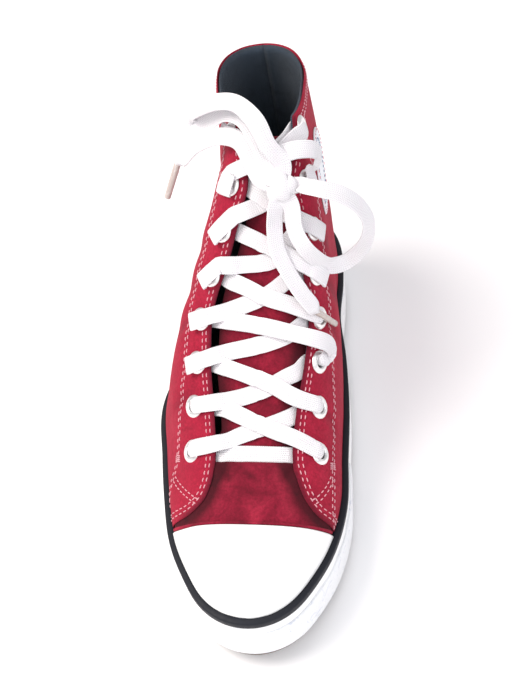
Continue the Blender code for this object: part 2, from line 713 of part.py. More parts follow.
def main():
    clear_scene()
    shoe = bpy.data.collections.new("high_top_sneaker")
    cutters = bpy.data.collections.new("cutters")
    bpy.context.scene.collection.children.link(shoe)
    bpy.context.scene.collection.children.link(cutters)
    suede = make_material("crimson_suede", (0.36, 0.012, 0.03), 0.85)
    white = make_material("white_rubber", (0.86, 0.87, 0.88), 0.45)
    dark = make_material("charcoal_rubber", (0.02, 0.022, 0.03), 0.5)
    tread = make_material("outsole_rubber", (0.05, 0.05, 0.055), 0.6)
    steel = make_material("eyelet_steel", (0.7, 0.7, 0.72), 0.25, 1.0)
    canvas = make_material("insole_canvas", (0.08, 0.09, 0.09), 0.9)
    cotton = make_material("lace_cotton", (0.85, 0.84, 0.82), 0.9)
    plastic = make_material("aglet_plastic", (0.8, 0.78, 0.75), 0.3)
    make_sole(shoe, cutters, tread, white, dark)
    make_insole(shoe, canvas)
    make_upper(shoe, cutters, suede)
    make_toe_cap(shoe, cutters, white)
    make_tongue(shoe, suede)
    make_eyelets(shoe, steel)
    make_laces(shoe, cutters, cotton)
    make_bow(shoe, cotton, plastic)


SOLE_MIDDLE_X = sole_middle_x()
main()
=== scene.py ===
import math
import bmesh
import bpy
import numpy as np
from mathutils import Matrix, Vector


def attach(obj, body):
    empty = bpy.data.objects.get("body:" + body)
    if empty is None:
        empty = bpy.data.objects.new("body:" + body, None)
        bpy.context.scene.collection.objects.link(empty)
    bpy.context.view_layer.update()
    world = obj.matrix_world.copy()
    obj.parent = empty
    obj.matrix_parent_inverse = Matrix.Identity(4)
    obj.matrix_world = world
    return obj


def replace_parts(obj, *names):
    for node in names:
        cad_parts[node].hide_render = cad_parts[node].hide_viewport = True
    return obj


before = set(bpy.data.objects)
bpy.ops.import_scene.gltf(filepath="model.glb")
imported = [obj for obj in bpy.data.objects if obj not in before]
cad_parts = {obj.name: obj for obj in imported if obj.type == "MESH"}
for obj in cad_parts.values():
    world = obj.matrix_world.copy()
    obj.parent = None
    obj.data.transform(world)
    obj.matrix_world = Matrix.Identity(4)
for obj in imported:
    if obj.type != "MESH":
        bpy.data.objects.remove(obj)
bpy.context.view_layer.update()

# High-top suede sneaker, right shoe: toe towards -Y, inner side towards +X, floor at z = 0.
mm = 0.001
print("frame loaded:", len(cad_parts), "solids")

# The last, as in the CAD source
last = {
    "length": 260 * mm, "foxing": 4 * mm, "gap": 0.35 * mm, "roundness": 2.8,
    "collarFront": 165.5 * mm, "collarBack": 158 * mm, "backLean": 12 * mm,
    "ball": 114 * mm, "taper": 0.15, "bed": 12 * mm, "outsole": 4.2 * mm, "stripe": 3.8 * mm,
    "toeSpring": 8 * mm, "springLength": 75 * mm, "archRise": 1.2 * mm, "waist": (135 * mm, 200 * mm),
    "feather": 1 * mm, "leanFrom": 60 * mm, "leanOver": 95 * mm, "taperFrom": 40 * mm, "taperOver": 110 * mm,
    "heelShare": 0.72,
    "eyeletPitch": 19.8 * mm, "firstEyelet": 66 * mm, "eyeletInset": 9.3 * mm, "capEnd": 34.6 * mm,
}
sectionNames = ("station", "lateral", "medial", "ridge", "soleX", "ridgeX")
sections = dict(zip(sectionNames, np.array([
    (0, 0, 0, 21, 3, 3), (8, 17.5, 17.5, 39, 2.5, 3), (19, 24.5, 25.5, 46, 1.5, 3.5),
    (38, 33.5, 34, 53, 0.5, 3.6), (62, 40, 38, 61, 0, 2.8), (86, 45.5, 37, 73, 0, 2.3),
    (118, 51, 36, 104, 0, 4.5), (150, 44, 33, 147, 0, 9.2), (180, 31.5, 28.5, 184, 0, 8),
    (208, 28.5, 28.5, 228, 0, 3), (234, 27.5, 26, 261, 0, 0), (252, 19, 18, 285, 0, -3),
    (260, 0, 0, 296, 0, -4)]).T * mm))
# Half-width of the throat at some eyelet rows, on the outer side (-1) and the inner (1)
throatRows = np.array([0, 3, 5, 6, 7.5])
throatGaps = {-1: np.array([22.5, 19.5, 11.5, 8.5, 11.5]) * mm, 1: np.array([21, 20.5, 14, 9, 12.5]) * mm}
# Height of the foxing's top at stations from toe to heel
foxingLine = np.array([(0, 33.5), (86, 26.8), (166, 28), (260, 31)]).T * mm


def throughTable(x, xs, ys):
    # cubic Hermite curve through the table, each slope from the three nearest points
    step = np.diff(xs)
    rise = np.diff(ys) / step
    slope = np.empty_like(ys)
    slope[1:-1] = (rise[:-1] * step[1:] + rise[1:] * step[:-1]) / (step[:-1] + step[1:])
    slope[0] = 1.5 * rise[0] - 0.5 * slope[1]
    slope[-1] = 1.5 * rise[-1] - 0.5 * slope[-2]
    i = np.clip(np.searchsorted(xs, x) - 1, 0, len(xs) - 2)
    t = (x - xs[i]) / step[i]
    return ((1 + 2 * t) * (1 - t) ** 2 * ys[i] + t * (1 - t) ** 2 * step[i] * slope[i]
            + t * t * (3 - 2 * t) * ys[i + 1] + t * t * (t - 1) * step[i] * slope[i + 1])


def angleOf(station):
    # a station as an angle whose cosine falls evenly from 1 at the toe to -1 at the heel
    return np.arccos(np.clip(1 - 2 * station / last["length"], -1, 1))


def sectionAt(column, station):
    # a column of the table, read at angles from 0 at the toe to pi at the heel so that both ends are round
    return throughTable(angleOf(station), angleOf(sections["station"]), sections[column])


def toeSpring(station):
    # parabola up to the toe, and a sine squared under the waist
    toe = last["toeSpring"] * np.clip(1 - (station + last["foxing"]) / last["springLength"], 0, 1) ** 2
    start, end = last["waist"]
    waist = np.clip((station - start) / (end - start), 0, 1)
    return toe + last["archRise"] * np.sin(math.pi * waist) ** 2


def featherHeight(station):
    # where the upper's wall meets the bed, which rises with the toe spring
    return last["bed"] + last["feather"] + toeSpring(station)


def backStation(height):
    # the back seam leans forward as the 1.5th power of the height above the heel's fullest point
    share = np.clip((height - last["leanFrom"]) / last["leanOver"], 0, 2)
    return last["length"] - last["backLean"] * share ** 1.5


def sideX(station, height, side):
    # half-width at the feather line times a superellipse of the height, shifted to close on the back seam
    back = backStation(height)
    rear = np.clip((station - last["ball"]) / (back - last["ball"]), 0, 1)
    rear = rear * rear * (3 - 2 * rear)
    shifted = np.clip(station + (last["length"] - back) * rear, 0, last["length"])
    foot = featherHeight(station)
    rise = np.clip((height - foot) / (sectionAt("ridge", station) - foot), 0, 1)
    rounding = (1 - rise ** last["roundness"]) ** (1 / last["roundness"])
    taper = 1 - last["taper"] * np.clip((height - last["taperFrom"]) / last["taperOver"], 0, 1)
    half = np.where(np.asarray(side) > 0, sectionAt("medial", shifted), sectionAt("lateral", shifted))
    middle = sectionAt("soleX", shifted) * (1 - rise) + sectionAt("ridgeX", shifted) * rise
    return middle + side * half * rounding * taper


def linePoint(ridge, t, side):
    # a girth line: straight in side view from the ridge (t = 0) to the feather line or back seam (t = 1)
    turn = ridge / last["collarFront"]
    heelShare = last["heelShare"]
    share = heelShare * ridge / last["length"]
    share = np.minimum(share + (1 - heelShare * last["collarFront"] / last["length"]) * turn ** 2, 1)
    up = np.clip((share - heelShare) / (1 - heelShare), 0, 1)
    heelFoot = featherHeight(np.array(last["length"]))
    seamHeight = heelFoot + (last["collarBack"] - heelFoot) * up
    along = np.clip(share / heelShare, 0, 1) * last["length"]
    endStation = np.where(share > heelShare, backStation(seamHeight), along)
    endHeight = np.where(share > heelShare, seamHeight, featherHeight(along))
    top = sectionAt("ridge", ridge)
    station = ridge + (endStation - ridge) * t
    height = top + (endHeight - top) * t
    return np.stack([sideX(station, height, side), station, height], axis=-1)


def unit(vectors):
    # each vector over its own length
    return vectors / np.maximum(np.linalg.norm(vectors, axis=-1, keepdims=True), 1e-12)


def bell(distance, reach):
    # 1 at no distance, falling as a bell curve to 1/e at the reach
    return np.exp(-(distance / reach) ** 2)


def fullTurn(count):
    # angles spaced evenly round a circle, the first not repeated
    return np.linspace(0, 2 * math.pi, count, endpoint=False)


def runOf(points, axis=0):
    # distance travelled along an axis of a grid of points
    steps = np.linalg.norm(np.diff(points, axis=axis), axis=-1)
    pad = [(0, 0)] * steps.ndim
    pad[axis] = (1, 0)
    return np.pad(np.cumsum(steps, axis=axis), pad)


# Distances along 332 girth lines on each side, from which any (ridge, arc) is found
lineKnots = np.linspace(0, last["collarFront"], 332)
shareKnots = np.linspace(0, 1, 170) ** 2
lineRuns = np.stack([runOf(linePoint(lineKnots[:, None], shareKnots[None], side), axis=1) for side in (-1, 1)])


def place(points):
    # from the last's coordinates to the world's, whose origin lies under the middle of the sole
    return points - np.array([middleX, last["length"] / 2, 0])


def lineLength(ridge, side):
    # length of a side's girth line from the ridge down
    return np.interp(ridge, lineKnots, lineRuns[1 if side > 0 else 0, :, -1])


def lastPoint(ridge, arc):
    # world point at a ridge station and a signed distance from the ridge, + on the inner side
    ridge, arc = np.broadcast_arrays(np.asarray(ridge, float), np.asarray(arc, float))
    shape, ridge, arc = ridge.shape, np.clip(ridge.ravel(), 0, last["collarFront"]), arc.ravel()
    found = []
    for part in np.array_split(np.arange(len(arc)), len(arc) // 30000 + 1):
        r, a = ridge[part], arc[part]
        spot = np.clip(r / lineKnots[1], 0, len(lineKnots) - 1.0001)
        row = spot.astype(int)
        share = (spot - row)[:, None]
        sideIndex = (a >= 0).astype(int)
        run = lineRuns[sideIndex, row] * (1 - share) + lineRuns[sideIndex, row + 1] * share
        k = np.clip((run < np.abs(a)[:, None]).sum(1) - 1, 0, len(shareKnots) - 2)
        index = np.arange(len(k))
        low, high = run[index, k], run[index, k + 1]
        inside = np.clip((np.abs(a) - low) / np.maximum(high - low, 1e-9), 0, 1)
        t = shareKnots[k] + (shareKnots[k + 1] - shareKnots[k]) * inside
        found.append(linePoint(r, t, np.where(a >= 0, 1.0, -1.0)))
    return place(np.concatenate(found)).reshape(*shape, 3)


def onLast(ridge, arc, lift=0.0):
    # the same point lifted along the outward normal, which is across x forward; returns both
    step = 0.6 * mm
    ridge, arc = np.broadcast_arrays(np.asarray(ridge, float), np.asarray(arc, float))
    across = lastPoint(ridge, arc + step) - lastPoint(ridge, arc - step)
    forward = (lastPoint(np.minimum(ridge + step, last["collarFront"]), arc)
               - lastPoint(np.maximum(ridge - step, 0), arc))
    normal = unit(np.cross(across, forward))
    return lastPoint(ridge, arc) + normal * np.asarray(lift)[..., None], normal


# The ridge's own length up to each of its stations
ridgeStation = np.linspace(0, 200 * mm, 801)
ridgeRun = runOf(np.stack([ridgeStation, sectionAt("ridge", ridgeStation)], axis=-1))


def rowRidge(row):
    # ridge station of an eyelet row, counted from 0 at the toe end in equal steps along the ridge
    first = np.interp(last["firstEyelet"], ridgeStation, ridgeRun)
    return np.interp(first + np.asarray(row, float) * last["eyeletPitch"], ridgeRun, ridgeStation)


def eyeletArc(row, side):
    # signed distance of an eyelet from the ridge: half the throat and the eyelet's inset
    return side * (np.interp(row, throatRows, throatGaps[side]) + last["eyeletInset"])


def outlinePoints(angle, offset):
    # plan outline of the sole at angles from 0 at the toe, + on the inner side, moved outwards along its
    # normal, a quarter turn from the tangent; in the last's coordinates
    def bare(a):
        station = last["length"] * (1 - np.cos(a)) / 2
        inner, outer = (sideX(station, last["bed"] + last["feather"], s) for s in (1, -1))
        x = np.where(np.abs(np.sin(a)) < 1e-9, (inner + outer) / 2, np.where(np.sin(a) >= 0, inner, outer))
        return np.stack([x, station], axis=-1)
    tangent = bare(angle + 0.004) - bare(angle - 0.004)
    normal = unit(np.stack([tangent[..., 1], -tangent[..., 0]], axis=-1))
    return bare(angle) + normal * np.asarray(offset)[..., None]


soleX = outlinePoints(np.linspace(-math.pi, math.pi, 2001), last["foxing"])[:, 0]
middleX = (soleX.min() + soleX.max()) / 2


def foxingTop(station):
    # height of the white wall, from the table
    return throughTable(station, *foxingLine)


def stripeTop(station):
    # the stripe sits on the foxing with a fine gap between them
    return foxingTop(station) + last["gap"] + last["stripe"]


# The upper stands out to meet the rubber: plan distance past the outline at the stripe's top,
# and how far above it this has died away
pressed = {"meets": 1.3 * mm, "quarter": 8 * mm, "cap": 5.5 * mm, "capMeets": 1.7 * mm}
pressAngles = np.linspace(-math.pi, math.pi, 1500, endpoint=False)
pressLine = outlinePoints(pressAngles, 0.0)
pressOut = unit(outlinePoints(pressAngles, 1.0 * mm) - pressLine)


def standOut(points, meets, height):
    # moves points outwards in plan, fully at and below the stripe's top, fading as a bell curve above it
    shape = points.shape
    points = points.reshape(-1, 3).copy()
    station = np.clip(points[:, 1] + last["length"] / 2, 0, last["length"])
    above = points[:, 2] - stripeTop(station)
    near = np.flatnonzero(above < 2.6 * height)
    for part in np.array_split(near, len(near) // 3000 + 1):
        plan = points[part, :2] + [middleX, last["length"] / 2]
        nearest = ((plan[:, None] - pressLine[None]) ** 2).sum(-1).argmin(1)
        away = ((plan - pressLine[nearest]) * pressOut[nearest]).sum(1)
        weight = bell(np.clip(above[part], 0, None), height)
        points[part, :2] += pressOut[nearest] * (np.clip(meets - away, 0, None) * weight)[:, None]
    return points.reshape(shape)


camera = {"place": (0.0793, -0.3115, 0.3944), "aim": (0.0052, -0.0006, 0.0600), "roll": -9.8,
          "lens": 48.5, "sensor": 36}


def addObject(name, data):
    # an object of its data at the origin, in the scene
    made = bpy.data.objects.new(name, data)
    bpy.context.scene.collection.objects.link(made)
    return made


def lookFrom(spot, aim, roll=0):
    # matrix of something that stands at its spot and points its -Z axis at the aim, rolled about that line
    turn = (Vector(aim) - Vector(spot)).to_track_quat("-Z", "Y").to_matrix()
    return Matrix.Translation(spot) @ (turn @ Matrix.Rotation(math.radians(roll), 3, "Z")).to_4x4()


def makeCamera():
    # looks from its place to the aim; lens and sensor are in mm
    data = bpy.data.cameras.new("camera")
    data.lens, data.sensor_width, data.clip_start = camera["lens"], camera["sensor"], 0.01
    eye = addObject("camera", data)
    eye.matrix_world = lookFrom(camera["place"], camera["aim"], camera["roll"])
    bpy.context.scene.camera = eye


makeCamera()


def colour(code):
    # sRGB hex to linear light
    part = np.array([int(code[i:i + 2], 16) for i in (1, 3, 5)]) / 255
    part = np.where(part <= 0.04045, part / 12.92, ((part + 0.055) / 1.055) ** 2.4)
    return (*map(float, part), 1.0)


def fillInputs(tree, node, inputs):
    # inputs go by name or in order; each is a value, a socket to link, or a node whose enabled output is linked
    for name, value in inputs.items() if isinstance(inputs, dict) else enumerate(inputs):
        if isinstance(value, bpy.types.Node):
            value = next(socket for socket in value.outputs if socket.enabled)
        if isinstance(value, bpy.types.NodeSocket):
            tree.links.new(value, node.inputs[name])
        else:
            node.inputs[name].default_value = value


def addNode(tree, kind, inputs=(), **settings):
    # a shader node with its settings and inputs
    made = tree.nodes.new("ShaderNode" + kind)
    for name, value in settings.items():
        setattr(made, name, value)
    fillInputs(tree, made, inputs)
    return made


def newMaterial(name, settings):
    # an opaque material of one shader, with the coordinates its textures read
    look = bpy.data.materials.new(name)
    look.use_nodes = True
    tree = look.node_tree
    tree.nodes.clear()
    shader = addNode(tree, "BsdfPrincipled", settings)
    addNode(tree, "OutputMaterial", {"Surface": shader})
    return look, tree, shader, addNode(tree, "TexCoord").outputs["Object"]


def perMetre(size):
    # scale of a texture whose grain is this many mm
    return 1000 / size


def suede(name, shades, nap, mottle):
    # split leather brushed to a short nap: dull, dyed right through, lighter and darker where it was
    # last stroked, in patches of a size in mm, with a soft bloom at grazing angles.
    # Shades: dark, middle and light nap, worn, and the colour of painted shade with some dirt
    look, tree, shader, where = newMaterial(name, {
        "Roughness": 0.92, "Sheen Weight": 0.16, "Sheen Roughness": 0.45, "Sheen Tint": colour("#e0707c"),
        "Specular IOR Level": 0.25})
    stroked = addNode(tree, "TexNoise", {"Vector": where, "Scale": perMetre(nap), "Detail": 5.0,
                                         "Roughness": 0.62, "Distortion": 0.6})
    dirt = addNode(tree, "TexNoise", {"Vector": where, "Scale": perMetre(34), "Detail": 3.0, "Roughness": 0.5})
    fibre = addNode(tree, "TexNoise", {"Vector": where, "Scale": perMetre(1.3), "Detail": 4.0,
                                       "Roughness": 0.75})
    ramp = addNode(tree, "ValToRGB", [stroked])
    dark, light = ramp.color_ramp.elements
    dark.position, light.position = 0.5 - 0.2 / mottle, 0.5 + 0.22 / mottle
    dark.color, light.color = colour(shades[0]), colour(shades[2])
    ramp.color_ramp.elements.new(0.5).color = colour(shades[1])
    worn = addNode(tree, "MapRange", [dirt, 0.52, 0.75, 0.0, 0.45 * mottle])
    darker = addNode(tree, "Mix", {0: worn, 6: ramp, 7: colour(shades[3])}, data_type="RGBA")
    grain = addNode(tree, "MapRange", [fibre, 0.3, 0.7, 0.74, 1.24])
    tinted = addNode(tree, "Mix", {0: 1.0, 6: darker, 7: grain}, data_type="RGBA", blend_type="MULTIPLY")
    # darker where the shade attribute says, broken up by the nap: painted shade beside the stays' edges and in
    # the creases, with some dirt
    held = addNode(tree, "Attribute", attribute_name="shade").outputs["Fac"]
    broken = addNode(tree, "MapRange", [stroked, 0.3, 0.7, 0.7, 1.0])
    shadeDirtMix = addNode(tree, "Math", [held, broken], operation="MULTIPLY")
    low = addNode(tree, "Bump", {"Height": stroked, "Strength": 0.35, "Distance": 0.5 * mm})
    fillInputs(tree, shader, {
        "Base Color": addNode(tree, "Mix", {0: shadeDirtMix, 6: tinted, 7: colour(shades[4])}, data_type="RGBA"),
        "Normal": addNode(tree, "Bump", {"Height": fibre, "Strength": 0.75, "Distance": 0.2 * mm,
                                         "Normal": low})})
    return look


def rubber(name, shades, roughness, scuff=(14, 0.35), pits=0.0, specular=0.4, pebble=None):
    # vulcanised rubber moulded smooth: a soft broad gloss, with faint stains and scuffs rubbed into it; scuff
    # is their size in mm and strength. A pebbled mould face has small round bumps that many mm apart
    look, tree, shader, where = newMaterial(name, {"Specular IOR Level": specular, "IOR": 1.52})
    stain = addNode(tree, "TexNoise", {"Vector": where, "Scale": perMetre(scuff[0]), "Detail": 6.0,
                                       "Roughness": 0.7, "Distortion": 1.1})
    speck = addNode(tree, "TexNoise", {"Vector": where, "Scale": perMetre(1.3), "Detail": 2.0})
    amount = addNode(tree, "MapRange", [stain, 0.55, 0.74, 0.0, scuff[1]])
    low = addNode(tree, "Bump", {"Height": stain, "Strength": 0.12, "Distance": 0.4 * mm})
    face = addNode(tree, "Bump", {"Height": speck, "Strength": 0.1 + pits, "Distance": 0.12 * mm,
                                  "Normal": low})
    if pebble:
        bumps = addNode(tree, "TexVoronoi", {
            "Vector": addNode(tree, "UVMap", uv_map="surface"), "Scale": mapUnit / pebble, "Randomness": 0.25},
            voronoi_dimensions="2D")
        face = addNode(tree, "Bump", {"Height": bumps.outputs["Distance"], "Strength": 0.9,
                                      "Distance": 0.35 * mm, "Normal": face}, invert=True)
    fillInputs(tree, shader, {
        "Base Color": addNode(tree, "Mix", {0: amount, 6: colour(shades[0]), 7: colour(shades[1])},
                              data_type="RGBA"),
        "Roughness": addNode(tree, "MapRange", [stain, 0.35, 0.75, roughness, min(1, roughness + 0.22)]),
        "Normal": face})
    return look


def woven(name, shades, thread, roughness=0.9, depth=0.2, chevron=False, fuzz=0.25):
    # plain or chevron weave, the product of a wave across and one along: raised threads in the first shade,
    # hollows darkened to the second as painted shade, aged patches in the third. A thread's width and the depth
    # are in mm
    look, tree, shader, where = newMaterial(name, {
        "Roughness": roughness, "Sheen Weight": fuzz, "Sheen Roughness": 0.5, "Specular IOR Level": 0.2})
    parts = addNode(tree, "SeparateXYZ", [addNode(tree, "UVMap", uv_map="surface")])
    across, along = parts.outputs["X"], parts.outputs["Y"]
    if chevron:  # herringbone: the lengthwise phase leads with the distance from the middle line
        along = addNode(tree, "Math", [along, addNode(tree, "Math", [across], operation="ABSOLUTE")],
                        operation="ADD")
    warp, weft = (addNode(tree, "Math", [addNode(tree, "Math", [way, 2 * math.pi * mapUnit / thread],
                                                 operation="MULTIPLY")], operation="SINE")
                  for way in (across, along))
    cloth = addNode(tree, "Math", [warp, weft], operation="MULTIPLY")
    if chevron:
        cloth = addNode(tree, "Math", [weft, 0.75, cloth], operation="MULTIPLY_ADD")
    slub = addNode(tree, "TexNoise", {"Vector": where, "Scale": perMetre(6.0), "Detail": 4.0, "Roughness": 0.6})
    # the hollows between the threads are darker: painted shade
    tone = addNode(tree, "MapRange", {"Value": cloth, "From Min": -1.2, "From Max": 0.8})
    base = addNode(tree, "Mix", {0: tone, 6: colour(shades[1]), 7: colour(shades[0])}, data_type="RGBA")
    aged = addNode(tree, "MapRange", [slub, 0.5, 0.75, 0.0, 0.6])
    fillInputs(tree, shader, {
        "Base Color": addNode(tree, "Mix", {0: aged, 6: base, 7: colour(shades[2])}, data_type="RGBA"),
        "Normal": addNode(tree, "Bump", {"Height": cloth, "Strength": 0.8, "Distance": depth * mm})})
    return look


def platedSteel():
    # nickel-plated steel pressed in a die: bright, a little brushed and finger-dulled
    look, tree, shader, where = newMaterial("nickel_plated_steel", {
        "Metallic": 1.0, "Base Color": colour("#f0f0ef")})
    dull = addNode(tree, "TexNoise", {"Vector": where, "Scale": perMetre(2.2), "Detail": 4.0})
    fillInputs(tree, shader, {
        "Roughness": addNode(tree, "MapRange", [dull, 0.3, 0.7, 0.26, 0.42]),
        "Normal": addNode(tree, "Bump", {"Height": dull, "Strength": 0.08, "Distance": 0.1 * mm})})
    return look


def agletFilm():
    # acetate film rolled tight on the lace's end: glossy, slightly yellow where it overlaps
    look, tree, shader, where = newMaterial("clear_acetate_aglet", {
        "Roughness": 0.14, "Coat Weight": 0.5, "Coat Roughness": 0.08, "IOR": 1.48})
    fold = addNode(tree, "TexNoise", {"Vector": where, "Scale": perMetre(3.0), "Detail": 3.0,
                                      "Distortion": 0.8})
    fillInputs(tree, shader, {
        "Base Color": addNode(tree, "Mix", {0: fold, 6: colour("#cfc3bd"), 7: colour("#a3928c")},
                              data_type="RGBA"),
        "Normal": addNode(tree, "Bump", {"Height": fold, "Strength": 0.3, "Distance": 0.2 * mm})})
    return look


mapUnit = 10  # mm of the surface to 1 of its map
mapScale = 1 / (mapUnit * mm)
# Dyed crimson split suede. The vamp's and the tongue's copies are darker than the stays': painted shade, as
# they lie lower and get less light
quarterSuede = suede("crimson_suede_quarter", ("#8f1530", "#9b1933", "#a6213b", "#851129", "#43081a"), 9, 0.8)
shadedVampSuede = suede("crimson_suede_vamp_painted_shade", ("#6d0e23", "#86152e", "#9c2139", "#560a1a", "#22040b"), 12, 1.4)
shadedTongueSuede = suede("crimson_suede_tongue_painted_shade", ("#6b0d21", "#80122a", "#921a31", "#5c0a1a", "#24040c"), 10, 1.2)
capRubber = rubber("white_rubber_cap", ("#f3f3f2", "#d9dce4"), 0.32, (11, 0.4))
foxingRubber = rubber("white_rubber_foxing", ("#f0f0f0", "#b9c0d4"), 0.42, (7, 0.7), 0.05)
stripeRubber = rubber("charcoal_rubber_stripe", ("#12151e", "#232834"), 0.5, (5, 0.5), 0.1, 0.3)
outsoleRubber = rubber("outsole_rubber_moulded", ("#54402f", "#3b2d22"), 0.62, (9, 0.6), 0.2)
bumperRubber = rubber("white_rubber_pebbled", ("#ecedef", "#a9b2cb"), 0.45, (6, 0.75), pebble=1.5)
patchRubber = rubber("white_rubber_patch", ("#eceef2", "#cfd6e4"), 0.5, (6, 0.5), 0.1)
liningCanvas = woven("charcoal_canvas_lining", ("#475361", "#252e38", "#2a333d"), 0.9, depth=0.14, fuzz=0.1)
insoleCanvas = woven("grey_canvas_insole", ("#4a4f4d", "#262a2a", "#2f3332"), 1.1, depth=0.16, fuzz=0.1)
# the lace's hollows and its aged patches are tinged pink: painted light bounced from the red suede, on top of
# real ageing
laceCotton = woven("white_cotton_lace", ("#fbfafb", "#dcd6dc", "#efe6ec"), 0.95, depth=0.16, chevron=True)
seamThread = woven("pale_pink_cotton_thread", ("#f0bcc4", "#c97884", "#d98f9b"), 0.5, depth=0.08)
patchThread = woven("blue_grey_cotton_thread", ("#8797b4", "#5c6a88", "#7584a3"), 0.5, depth=0.08)
eyeletSteel, agletPlastic = platedSteel(), agletFilm()
# The sewing threads are not in the part
print("materials made:", len(bpy.data.materials))


def newPiece(name, points, faces, material, uv=None, joined=0.004 * mm, shade=None):
    # mesh whose doubles are merged, with its faces turned outwards; shade is a tone the suede reads
    mesh = bpy.data.meshes.new(name)
    mesh.from_pydata(np.asarray(points).reshape(-1, 3).tolist(), [],
                     faces if isinstance(faces, list) else faces.tolist())
    if uv is not None:
        layer = mesh.uv_layers.new(name="surface")
        corner = np.zeros(len(mesh.loops), np.int32)
        mesh.loops.foreach_get("vertex_index", corner)
        layer.data.foreach_set("uv", np.asarray(uv, np.float32).reshape(-1, 2)[corner].ravel())
    if shade is not None:
        mesh.attributes.new("shade", "FLOAT", "POINT").data.foreach_set("value", np.asarray(shade, np.float32))
    work = bmesh.new()
    work.from_mesh(mesh)
    bmesh.ops.remove_doubles(work, verts=work.verts, dist=joined)
    bmesh.ops.dissolve_degenerate(work, edges=work.edges, dist=joined / 4)
    bmesh.ops.recalc_face_normals(work, faces=work.faces)
    work.to_mesh(mesh)
    work.free()
    mesh.materials.append(material)
    mesh.shade_smooth()
    piece = addObject(name, mesh)
    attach(piece, "root")
    return piece


def gridFaces(rows, columns, wrap=False, ring=False):
    # quads of a grid of points stored row by row; wrap joins the last column to the first, ring the last row
    i, j = np.meshgrid(np.arange(rows if ring else rows - 1), np.arange(columns if wrap else columns - 1),
                       indexing="ij")
    row, nextRow, after = i * columns, (i + 1) % rows * columns, (j + 1) % columns
    return np.stack([row + j, row + after, nextRow + after, nextRow + j], axis=-1).reshape(-1, 4)


def rounded(distance, radius):
    # quarter circle from 0 at an edge to 1 at the radius
    return np.sqrt(1 - (1 - np.clip(distance / radius, 0, 1)) ** 2)


def slab(name, skin, half, material, rim=0.6 * mm, sharp=(), shade=None):
    # a thin sheet: a face each way from its middle surface and normals, thinning to nothing round all edges
    # but the sharp ones, which get a wall; shade is a tone of painted shade and dirt for the material, 0 none
    # to 1 dark
    flat, normal = skin
    across, along = runOf(flat, 1), runOf(flat, 0)
    # the first column may be slanted, and its distance is then across times the sine of its angle to the rows
    row, slant = unit(flat[:, 1] - flat[:, 0]), unit(np.gradient(flat[:, 0], axis=0))
    sine = np.linalg.norm(np.cross(row, slant), axis=-1)
    distances = {"first": across * np.clip(sine, 0.08, 1)[:, None], "last": across[:, -1:] - across,
                 "low": along, "high": along[-1:] - along}
    shape = np.ones_like(across)
    for edge, distance in distances.items():
        shape = shape if edge in sharp else np.minimum(shape, rounded(distance, rim))
    thick = (half * shape)[..., None] * normal
    faces = gridFaces(*across.shape)
    points = np.concatenate([(flat + thick).reshape(-1, 3), (flat - thick).reshape(-1, 3)])
    uv = np.concatenate([np.stack([across, along], axis=-1).reshape(-1, 2)] * 2) * mapScale
    index = np.arange(across.size).reshape(across.shape)
    border = np.concatenate([index[0, :-1], index[:-1, -1], index[-1, :0:-1], index[:0:-1, 0]])
    after = np.roll(border, -1)
    wall = np.stack([after, border, border + across.size, after + across.size], axis=-1)
    shade = np.zeros_like(across) if shade is None else shade
    return newPiece(name, points, np.concatenate([faces, faces[:, ::-1] + across.size, wall]), material, uv,
                    shade=np.concatenate([shade.ravel()] * 2))


def evenly(points, count, *others):
    # smooth curve through the points, its values and others sampled at even distances
    points = np.asarray(points, float)
    knots = np.concatenate([[0], np.cumsum(np.linalg.norm(np.diff(points, axis=0), axis=1) ** 0.5)])
    table = np.column_stack([points] + [np.asarray(o, float).reshape(len(points), -1) for o in others])
    share = np.linspace(0, knots[-1], 24 * len(points))
    fine = np.column_stack([throughTable(share, knots, column) for column in table.T])
    run = runOf(fine[:, :3])
    at = np.linspace(0, run[-1], count)
    return np.column_stack([np.interp(at, run, column) for column in fine.T]), at


lace = {"width": 7.8 * mm, "thickness": 1.15 * mm, "selvedge": 0.45, "crown": 0.6, "steps": 1.1 * mm,
        "swell": 0.035, "ripple": 0.12 * mm}


